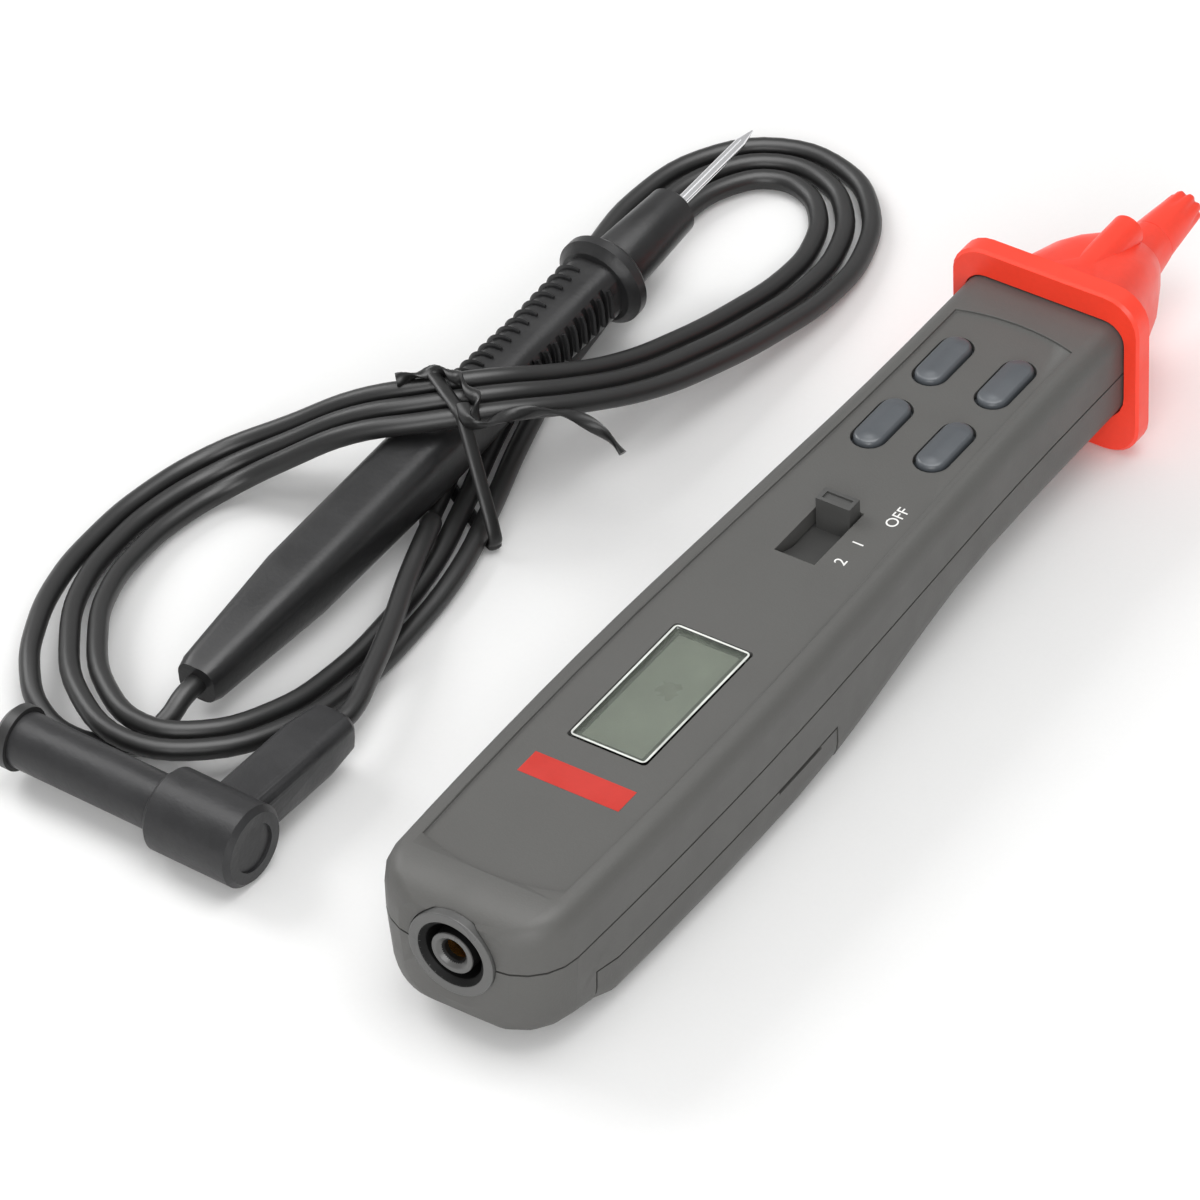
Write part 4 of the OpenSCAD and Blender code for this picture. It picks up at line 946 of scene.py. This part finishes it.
@dataclass
class Probe:
    """Hand probe of the lead. Millimetres and degrees, along its own axis from the rear."""

    rear: Point = (-84.5, -73.7, 6.6)
    tilt: float = 3.6
    turn: float = -1.64
    length: float = 146.0
    width: float = 13.2
    height: float = 12.4
    soft: float = 4.0
    places: tuple[float, ...] = (0, 0.014, 0.2, 0.45, 0.62, 0.7, 0.84)
    widths: tuple[float, ...] = (0.848, 0.924, 1, 0.97, 0.848, 0.818, 0.879)
    heights: tuple[float, ...] = (0.871, 0.952, 1, 1, 0.935, 0.903, 0.968)
    first_rib: float = 117.1
    pitch: float = 2.7
    ribs: int = 13
    rib_half_width: float = 0.8
    rib_squash: float = 0.42
    rib_sides: int = 10
    rib_start: float = -2.2
    rib_bend: float = -0.6
    rib_reach: float = 0.9
    rib_sink: float = 0.15
    quarter_steps: int = 6
    right_steps: int = 2
    edge: float = 0.4
    edge_angle: float = 35.0
    needle_edge: float = 0.05
    core: float = 2.9
    rear_share: float = 0.7
    taper: float = 48.0
    sleeve_start: float = 125.6
    sleeve_share: float = 1.16

    def frame(self) -> Matrix:
        """Where the probe's own axes lie.

        Returns:
            The place and turn of the handle's rear, in metres.
        """
        turn = Matrix.Rotation(math.radians(self.turn), 4, "Z")
        tilt = Matrix.Rotation(math.radians(self.tilt), 4, "X")
        return Matrix.Translation(mm(self.rear)) @ turn @ tilt

    def half(self, shares: tuple[float, ...], size: float, y: float) -> float:
        """Half of the handle's width or height at a distance from its rear.

        Args:
            shares: the size at each of the places, as shares of the largest.
            size: the largest width or height.
            y: the distance.

        Returns:
            The half.
        """
        at = y / self.length
        for i in range(len(self.places) - 1):
            if at <= self.places[i + 1]:
                t = (at - self.places[i]) / (self.places[i + 1] - self.places[i])
                return size / 2 * (shares[i] + t * (shares[i + 1] - shares[i]))
        return size / 2 * shares[-1]

    def build(self) -> list[bpy.types.Object]:
        """Makes the handle, its ribs and the needle.

        Returns:
            The pieces, for the cord's far end.
        """
        handle = softened("probe_grip", "probe_handle", self.edge, self.edge_angle)
        self.slim(handle)
        settle(handle, PROBE, Body.METER, ("probe_handle",))
        ribs = settle(self.rib_set(), PROBE, Body.METER)
        needle = softened("probe_tip", "probe_needle", self.needle_edge)
        settle(needle, CHROME, Body.METER, ("probe_needle",))
        return [handle, ribs, needle]

    def slim(self, handle: bpy.types.Object) -> None:
        """Draws the handle in towards its rear and fills out the sleeve at its front.

        The core round the axis, where the cord and the needle go in, keeps its size.

        Args:
            handle: the handle's mesh object.
        """
        place = self.frame()
        back = place.inverted()
        for vert in handle.data.vertices:
            local = back @ vert.co
            share = 1.0
            if math.hypot(local.x, local.z) > self.core * MM:
                if local.y < self.taper * MM:
                    t = max(0.0, local.y / (self.taper * MM))
                    share = self.rear_share + (1 - self.rear_share) * math.sin(math.pi / 2 * t)
                elif local.y > self.sleeve_start * MM:
                    share = self.sleeve_share
            vert.co = place @ Vector((local.x * share, local.y, local.z * share))

    def rib_set(self) -> bpy.types.Object:
        """Ribs on both sides of the grip, which reach over its top on the left.

        Returns:
            The ribs as one object.
        """
        place = self.frame()
        soft = self.soft
        routes = []
        for i in range(self.ribs):
            y = self.first_rib - i * self.pitch
            w = self.half(self.widths, self.width, y)
            h = self.half(self.heights, self.height, y)
            for side, steps in ((-1, self.quarter_steps), (1, self.right_steps)):
                line = [(w, self.rib_start), (w, self.rib_bend)]
                for k in range(steps + 1):
                    a = math.pi / 2 * k / self.quarter_steps
                    line.append((w - soft + soft * math.cos(a), h - soft + soft * math.sin(a)))
                if steps == self.quarter_steps:
                    line.append((w - soft - self.rib_reach, h - self.rib_sink))
                routes.append(tuple(
                    tuple(place @ mm((side * u, y, v)) / MM) for u, v in line))
        sizes = {"Half width": self.rib_half_width * MM, "Twist": 0.0}
        tree = NodeTree("grip_ribs", sizes, tuple(routes))
        rib = tree.swept(tree.smooth_route("Twist"), "Half width", self.rib_sides, self.rib_squash)
        return tree.made(rib, PROBE)


@dataclass
class Keypad:
    """Four keys. Millimetres."""

    pitch: float = 12.8
    rear_y: float = 25.15
    front_y: float = 45.39
    length: float = 14.0
    width: float = 5.7
    lip: float = 1.0
    lip_low: float = 25.5
    lip_high: float = 26.7
    top: float = 29.7
    crown: float = 0.35
    crown_shares: tuple[float, ...] = (0.35, 0.7, 0.96)
    opening_play: float = 1.0
    rounding: float = 0.8
    rounding_steps: int = 6

    def build(self) -> None:
        """Makes each key as its own piece on its own body."""
        places = {
            Body.KEY_FRONT_LEFT: (-1, self.front_y), Body.KEY_FRONT_RIGHT: (1, self.front_y),
            Body.KEY_REAR_LEFT: (-1, self.rear_y), Body.KEY_REAR_RIGHT: (1, self.rear_y)}
        for body, (side, y) in places.items():
            key = self.key("cap_of_" + body.value, side * self.pitch / 2, y)
            settle(key, KEY, body, (body.value,))

    def key(self, name: str, x: float, y: float) -> bpy.types.Object:
        """A key: lip, straight sides, a round edge and a crowned top.

        Args:
            name: the piece's name.
            x: middle of the key.
            y: middle of the key.

        Returns:
            The key.
        """
        grown = 2 * self.lip + self.opening_play
        profile = [(grown, self.lip_low), (grown, self.lip_high), (0, self.lip_high)]
        radius = self.rounding
        for i in range(self.rounding_steps + 1):
            a = math.pi / 2 * i / self.rounding_steps
            profile.append((
                2 * radius * (math.cos(a) - 1),
                self.top - self.crown - radius * (1 - math.sin(a))))
        for share in self.crown_shares:
            profile.append((
                -2 * radius - share * (self.width - 2 * radius),
                self.top - self.crown * (1 - share) ** 2))
        rings = [stadium(x, y, z, self.length + more, self.width + more) for more, z in profile]
        return loft(name, rings)


@dataclass
class Case:
    """Both case halves, the battery cover, and what is printed on the panel. Millimetres."""

    edge: float = 0.35
    fine_edge: float = 0.2
    panel_z: float = 28.5
    print_sink: float = 0.02
    tail_start: float = -97.9
    tail_end: float = -118.4
    joint_z: float = 18.4
    tail_rise: float = 3.0
    tail_draw: float = 0.12
    tray_side: float = 17.6
    tray_shrink: float = 0.18
    gap: float = 0.3
    gap_reach: float = 0.4
    strip: tuple[float, float, float, float] = (-9.8, -84.0, 10.4, -78.4)
    strip_rise: float = 0.05
    mark_size: float = 3.2
    marks: tuple[tuple[str, str, float, float], ...] = (
        ("mark_off", "OFF", 9.6, 4.6), ("mark_one", "1", 7.6, -4.8), ("mark_two", "2", 7.6, -10.4))

    def build(self) -> None:
        """Makes the shells and the prints."""
        upper = softened("upper_shell", "top_case", self.fine_edge)
        settle(upper, CASE, Body.METER, ("top_case",))
        lower = softened("lower_shell", "bottom_case", self.edge)
        self.round_tail(lower)
        settle(lower, CASE, Body.METER, ("bottom_case",))
        tray = softened("battery_tray", "battery_cover", self.fine_edge, shrink=self.tray_shrink)
        self.open_gap(tray)
        self.round_tail(tray)
        settle(tray, CASE, Body.COVER, ("battery_cover",))
        self.red_strip()
        self.position_marks()

    def open_gap(self, tray: bpy.types.Object) -> None:
        """Draws the tray's upper and tail edges back a little, so that its outline shows.

        Args:
            tray: the battery cover's mesh object.
        """
        side, gap, reach = self.tray_side * MM, self.gap * MM, self.gap_reach * MM
        high = max(v.co.z for v in tray.data.vertices if abs(v.co.x) > side)
        back = min(v.co.y for v in tray.data.vertices)
        for vert in tray.data.vertices:
            if abs(vert.co.x) > side and vert.co.z > high - reach:
                vert.co.z -= gap
            if vert.co.y < back + reach:
                vert.co.y += gap

    def round_tail(self, shell: bpy.types.Object) -> None:
        """Draws the underside up and in a little ahead of the tail's end wall.

        Args:
            shell: the mesh object of the lower case half or of the battery cover.
        """
        start, end, joint = self.tail_start, self.tail_end, self.joint_z
        for vert in shell.data.vertices:
            y, z = vert.co.y / MM, vert.co.z / MM
            if y < start and z < joint:
                u = min(1.0, (start - y) / (start - end))
                low = 1 - z / joint
                vert.co.z += self.tail_rise * MM * 4 * u * (1 - u) * low
                vert.co.x *= 1 - self.tail_draw * u * low

    def red_strip(self) -> None:
        """A plain red strip on the panel near the tail."""
        x0, y0, x1, y1 = self.strip
        rings = [
            [(x0, y0, z), (x1, y0, z), (x1, y1, z), (x0, y1, z)]
            for z in (self.panel_z - self.print_sink, self.panel_z + self.strip_rise)]
        settle(loft("red_strip", rings), STRIP, Body.METER)

    def position_marks(self) -> None:
        """The word at the switch's off place and plain numbers at the other two."""
        for name, word, x, y in self.marks:
            self.mark(name, word, x, y)

    def mark(self, name: str, word: str, x: float, y: float) -> None:
        """A printed mark on the panel.

        Args:
            name: the piece's name.
            word: what it says.
            x: its middle.
            y: its middle.
        """
        text = bpy.data.curves.new(name, "FONT")
        text.body = word
        text.size = self.mark_size * MM
        text.extrude = self.print_sink * MM
        text.align_x = text.align_y = "CENTER"
        holder = bpy.data.objects.new(name + "_text", text)
        bpy.context.scene.collection.objects.link(holder)
        bpy.context.view_layer.update()
        graph = bpy.context.evaluated_depsgraph_get()
        mesh = bpy.data.meshes.new_from_object(holder.evaluated_get(graph))
        bpy.data.objects.remove(holder)
        place = Matrix.Translation(mm((x, y, self.panel_z + self.print_sink)))
        mesh.transform(place @ Matrix.Rotation(math.radians(90), 4, "Z"))
        settle(add_object(name, mesh), PRINT, Body.METER)


@dataclass
class Display:
    """Window and liquid crystal panel. Millimetres."""

    y: float = -55.25
    pane_w: float = 15.3
    pane_l: float = 33.2
    pane_low: float = 27.22
    pane_high: float = 28.58
    edge: float = 0.45
    foot: float = 0.2
    foot_rise: float = 0.1
    edge_share: float = 0.3
    flat_crease: float = 8.0
    margin: float = 0.1
    rim_band: float = 0.4
    rim_sink: float = 0.02
    rim_rise: float = 0.01
    film_low: float = 27.11
    film: float = 0.04
    border_band: float = 1.5
    border_low: float = 0.05
    border_high: float = 0.08
    glass_edge: float = 0.12
    corner: float = 1.0
    inner_corner: float = 0.4
    corner_steps: int = 6

    def build(self) -> None:
        """Makes the clear window with a pale rim on it as painted highlight, and dresses what is under it."""
        w, l, e, t = self.pane_w, self.pane_l, self.edge, self.edge_share
        rings = [
            self.outline(w - d, l - d, z) for d, z in (
                (self.foot, self.pane_low), (0, self.pane_low + self.foot_rise), (0, self.pane_high - e),
                (t * e, self.pane_high - t * e), (e, self.pane_high))]
        pane = loft("window_pane", rings, crease=self.flat_crease)
        settle(pane, WINDOW, Body.METER, ("display_window",))
        # The rim along the pane's edges is a painted highlight.
        w, l, z = w - self.margin, l - self.margin, self.pane_high
        rim = self.frame("window_rim", w, l, self.rim_band, z - self.rim_sink, z + self.rim_rise)
        settle(rim, WINDOW_EDGE_PAINTED_HIGHLIGHT, Body.METER)
        # The display's face and border carry painted reflection in their stretched colour mottle.
        z = self.film_low
        film = loft("lcd_face", [self.outline(w, l, v) for v in (z, z + self.film)])
        settle(film, LCD, Body.METER)
        low, high = z + self.border_low, z + self.border_high
        border = self.frame("lcd_border", w, l, self.border_band, low, high)
        settle(border, LCD_BORDER, Body.METER)
        glass = softened("lcd_pane", "display_panel", self.glass_edge)
        settle(glass, LCD, Body.METER, ("display_panel",))
        keep("display_frame", WHITE_FRAME)
        keep("contact_strips", STRIP_RUBBER)

    def outline(
        self, width: float, length: float, z: float, radius: float | None = None
    ) -> list[Point]:
        """A rectangle with round corners about the window's middle.

        Args:
            width: its size across the meter.
            length: its size along the meter.
            z: its height.
            radius: radius of its corners, if not the window's own.

        Returns:
            Points, counter-clockwise seen from above.
        """
        r = self.corner if radius is None else radius
        ring = []
        for i, (sx, sy) in enumerate(((1, 1), (-1, 1), (-1, -1), (1, -1))):
            for k in range(self.corner_steps + 1):
                a = math.pi / 2 * (i + k / self.corner_steps)
                ring.append((
                    sx * (width / 2 - r) + r * math.cos(a),
                    self.y + sy * (length / 2 - r) + r * math.sin(a), z))
        return ring

    def frame(
        self, name: str, width: float, length: float, band: float, low: float, high: float
    ) -> bpy.types.Object:
        """A flat frame about the window's middle.

        Args:
            name: the piece's name.
            width: outer width.
            length: outer length.
            band: width of its sides.
            low: height of its underside.
            high: height of its top.

        Returns:
            The frame.
        """
        outer = [self.outline(width, length, z) for z in (low, high)]
        inside = width - 2 * band, length - 2 * band
        inner = [self.outline(*inside, z, self.inner_corner) for z in (high, low)]
        return loft(name, outer + inner + outer[:1], closed=False)


@dataclass
class Switch:
    """Slide switch."""

    edge: float = 0.3

    def build(self) -> None:
        """Makes the knob and dresses the wiper."""
        knob = softened("slide_knob", "switch_knob", self.edge)
        settle(knob, KNOB, Body.SWITCH, ("switch_knob",))
        keep("switch_wiper", BRASS)


@dataclass
class Socket:
    """Socket at the tail. Millimetres; each profile runs inwards from the face."""

    edge: float = 0.2
    face: Point = (0, -119.0, 18.8)
    groove: Profile = (
        (0.06, 6.52), (1.03, 5.55), (13.9, 5.55), (13.9, 4.14), (0.7, 4.14))
    mouth: Profile = ((0.5, 3.06), (1.43, 2.1), (2.35, 2.08))

    def build(self) -> None:
        """Makes the housing with near black liners in its groove and mouth as painted shade, and dresses the
        contact.
        """
        ring = softened("socket_ring", "jack_housing", self.edge)
        settle(ring, SOCKET, Body.METER, ("jack_housing",))
        # The near black liners are painted shade, set where the socket's groove and mouth lie in shadow.
        for name, profile in (("socket_groove_painted_shade", self.groove), ("socket_mouth_painted_shade", self.mouth)):
            shade_lining = turned(name, profile, self.face, closed=False)
            settle(shade_lining, SOCKET_PAINTED_SHADE, Body.METER)
        keep("jack_contact", BRASS)


@dataclass
class Nose:
    """Red nose with its cap, pin and lamp. Millimetres."""

    edge: float = 0.9
    cap_start: Point = (0, 106.15, 17.0)
    cap_length: float = 12.85
    cap_base: float = 4.47
    cap_tip: float = 3.3
    cap_bore: float = 3.2
    bore_depth: float = 3.0
    base_edge: float = 0.2
    tip_edge: float = 0.15
    tip_round: float = 0.5
    dimple: float = 1.6
    dimple_floor: float = 1.4
    dimple_depth: float = 0.8
    wall_shares: tuple[float, ...] = (0.3, 0.5, 0.62, 0.74, 0.86, 0.95)
    flutes: int = 8
    flute_start_share: float = 0.55
    flute_depth: float = 0.4
    fluted_from: float = 2.0
    axis_gap: float = 0.02
    steps: int = 72

    def build(self) -> None:
        """Makes the guard, cap, pin and lamp."""
        guard = softened("red_nose", "nose_guard", self.edge)
        settle(guard, NOSE, Body.METER, ("nose_guard",))
        settle(self.cap(), NOSE, Body.TIP_CAP, ("tip_cap",))
        keep("probe_pin", STEEL)
        keep("pin_terminal", BRASS)
        keep("torch_lamp", LAMP)

    def cap(self) -> bpy.types.Object:
        """The cap over the pin: hollow at its base, fluted towards its tip.

        Returns:
            The cap.
        """
        x, y, z = self.cap_start
        run, base, tip, bore = self.cap_length, self.cap_base, self.cap_tip, self.cap_bore
        wall = [(self.bore_depth, bore), (0.0, bore), (0.0, base - self.base_edge), (self.base_edge, base)]
        wall += [(run * t, base + (tip - base) * t) for t in self.wall_shares]
        floor = run - self.dimple_depth
        wall += [(run - self.tip_edge, tip - self.tip_edge), (run, tip - self.tip_round)]
        wall += [(run, self.dimple), (floor, self.dimple_floor), (floor, self.axis_gap)]
        rings = []
        for along, radius in wall:
            fluted = radius > self.fluted_from
            dip = self.flute_depth * max(0.0, along / run - self.flute_start_share) if fluted else 0.0
            ring = []
            for i in range(self.steps):
                a = 2 * math.pi * i / self.steps
                r = radius - dip * (1 + math.cos(self.flutes * a)) ** 2
                ring.append((x + r * math.cos(a), y + along, z - r * math.sin(a)))
            rings.append(ring)
        return loft("red_tip", rings)


@dataclass
class Inside:
    """What the case holds. Millimetres; a cell's profiles run from its flat end to its cap."""

    wire: float = 0.5
    wide: float = 3.4
    narrow: float = 2.2
    rise: float = 3.4
    turns: float = 3.5
    cell_x: float = 5.85
    cell_z: float = 7.15
    spring_back: float = -97.11
    spring_front: float = -49.21
    right_end: float = -93.41
    left_end: float = -52.91
    jacket: Profile = (
        (0.4, 4.6), (0.4, 5.05), (0.7, 5.22), (42.4, 5.22), (42.9, 5.0), (42.9, 4.4))
    can: Profile = (
        (0.02, 0.0), (0.02, 4.3), (0.3, 4.7), (43.1, 4.7), (43.3, 4.3), (43.4, 2.8), (44.3, 2.6),
        (44.45, 2.2), (44.45, 0.0))
    rim_crease: float = 35.0
    screw_head: float = 4.6
    screw_shank: float = 2.4
    screw_top: float = 25.48
    head_height: float = 1.8
    thread: float = 0.2
    thread_pitch: float = 0.9
    thread_end: float = 0.25
    slot: float = 0.7
    slot_length: float = 2.8
    slot_depth: float = 1.0
    case_seats: tuple[Point, ...] = ((0, 35.27, 10.6), (13.6, -36.41, 13.4), (-13.6, -36.41, 13.4))
    board_seats: tuple[Point, ...] = ((-11.2, -29.35, 20.2), (11.2, -29.35, 20.2))

    def build(self) -> None:
        """Makes springs, cells and screws and dresses the other inner nodes."""
        self.springs()
        self.cells()
        self.screws("case_screw_set", "case_screws", self.case_seats)
        self.screws("board_screw_set", "board_screws", self.board_seats)
        for node, finish in (
            ("circuit_board", BOARD), ("keypad_mat", MAT), ("battery_contacts", STEEL),
            ("buzzer", BLACK), ("main_chip", BLACK), ("safety_resistor", CERAMIC)):
            keep(node, finish)

    def springs(self) -> None:
        """Two conical springs, one at each cell's flat end."""
        tree = NodeTree("cell_springs", {
            "Wire radius": self.wire / 2 * MM, "Wide": self.wide * MM, "Narrow": self.narrow * MM,
            "Rise": self.rise * MM, "Turns": self.turns})
        spiral = tree.node("GeometryNodeCurveSpiral", {
            "Resolution": 28, "Rotations": tree.size("Turns"), "Start Radius": tree.size("Wide"),
            "End Radius": tree.size("Narrow"), "Height": tree.size("Rise")})
        wire = tree.swept(spiral.outputs[0], "Wire radius", 8)
        both = tree.together([
            tree.moved(wire, (self.cell_x, self.spring_back, self.cell_z), (-90, 0, 0)),
            tree.moved(wire, (-self.cell_x, self.spring_front, self.cell_z), (90, 0, 0))])
        settle(tree.made(both, STEEL), STEEL, Body.METER, ("battery_springs",))

    def cells(self) -> None:
        """Two cells: a jacket with rolled rims, and a metal can that ends in a cap."""
        for name, profile, finish, slot in (
            ("cell_jackets", self.jacket, CELL, "cell_jacket"), ("cell_cans", self.can, STEEL, "steel")):
            pair = [
                turned(name + "_right", profile, (self.cell_x, self.right_end, self.cell_z)),
                turned(name + "_left", profile, (-self.cell_x, self.left_end, self.cell_z), -1)]
            work = bmesh.new()
            for piece in pair:
                work.from_mesh(piece.data)
                bpy.data.objects.remove(piece)
            mesh = bpy.data.meshes.new(name)
            work.to_mesh(mesh)
            work.free()
            mesh.shade_smooth()
            mesh.set_sharp_from_angle(angle=math.radians(self.rim_crease))
            settle(add_object(name, mesh), finish, Body.METER, ("batteries",))

    def screws(self, name: str, node: str, places: tuple[Point, ...]) -> None:
        """Screws with crossed heads below and threaded shanks above.

        Args:
            name: the piece's name.
            node: the CAD node that it stands for.
            places: each screw's axis and the height of its head's seat.
        """
        core = (self.screw_shank / 2 - self.thread) * MM
        tree = NodeTree(name, {
            "Head radius": self.screw_head / 2 * MM, "Shank radius": core,
            "Thread radius": self.thread * MM, "Thread path": core})
        h = self.head_height
        long, wide, deep = self.slot_length, self.slot, 2 * self.slot_depth
        head = tree.node("GeometryNodeMeshCylinder", {
            "Vertices": 40, "Radius": tree.size("Head radius"), "Depth": h * MM}).outputs["Mesh"]
        slots = [
            tree.node("GeometryNodeMeshCube", {"Size": mm(size)}).outputs["Mesh"]
            for size in ((long, wide, deep), (wide, long, deep))]
        cutter = tree.moved(tree.together(slots), (0, 0, -h / 2))
        cross = tree.node(
            "GeometryNodeMeshBoolean", {"Mesh 1": head, "Mesh 2": cutter}, operation="DIFFERENCE")
        shapes = []
        for x, y, seat in places:
            run = self.screw_top - seat
            shank = tree.node("GeometryNodeMeshCylinder", {
                "Vertices": 24, "Radius": tree.size("Shank radius"), "Depth": run * MM})
            thread = tree.node("GeometryNodeCurveSpiral", {
                "Resolution": 20, "Rotations": run / self.thread_pitch,
                "Start Radius": tree.size("Thread path"), "End Radius": tree.size("Thread path"),
                "Height": (run - 2 * self.thread_end) * MM})
            shapes += [
                tree.moved(cross.outputs[0], (x, y, seat - h / 2)),
                tree.moved(shank.outputs["Mesh"], (x, y, seat + run / 2)),
                tree.moved(
                    tree.swept(thread.outputs[0], "Thread radius", 6), (x, y, seat + self.thread_end))]
        settle(tree.made(tree.together(shapes), STEEL), STEEL, Body.METER, (node,))


def main() -> None:
    """Builds every sub-assembly in order."""
    logging.basicConfig(level=logging.INFO, format="%(name)s: %(message)s")
    View().build()
    probe = Probe().build()
    Lead().build(probe)
    Plug().build()
    Tie().build()
    Case().build()
    Keypad().build()
    Display().build()
    Switch().build()
    Socket().build()
    Nose().build()
    Inside().build()
    Studio().build()


if __name__ == "__main__":
    main()
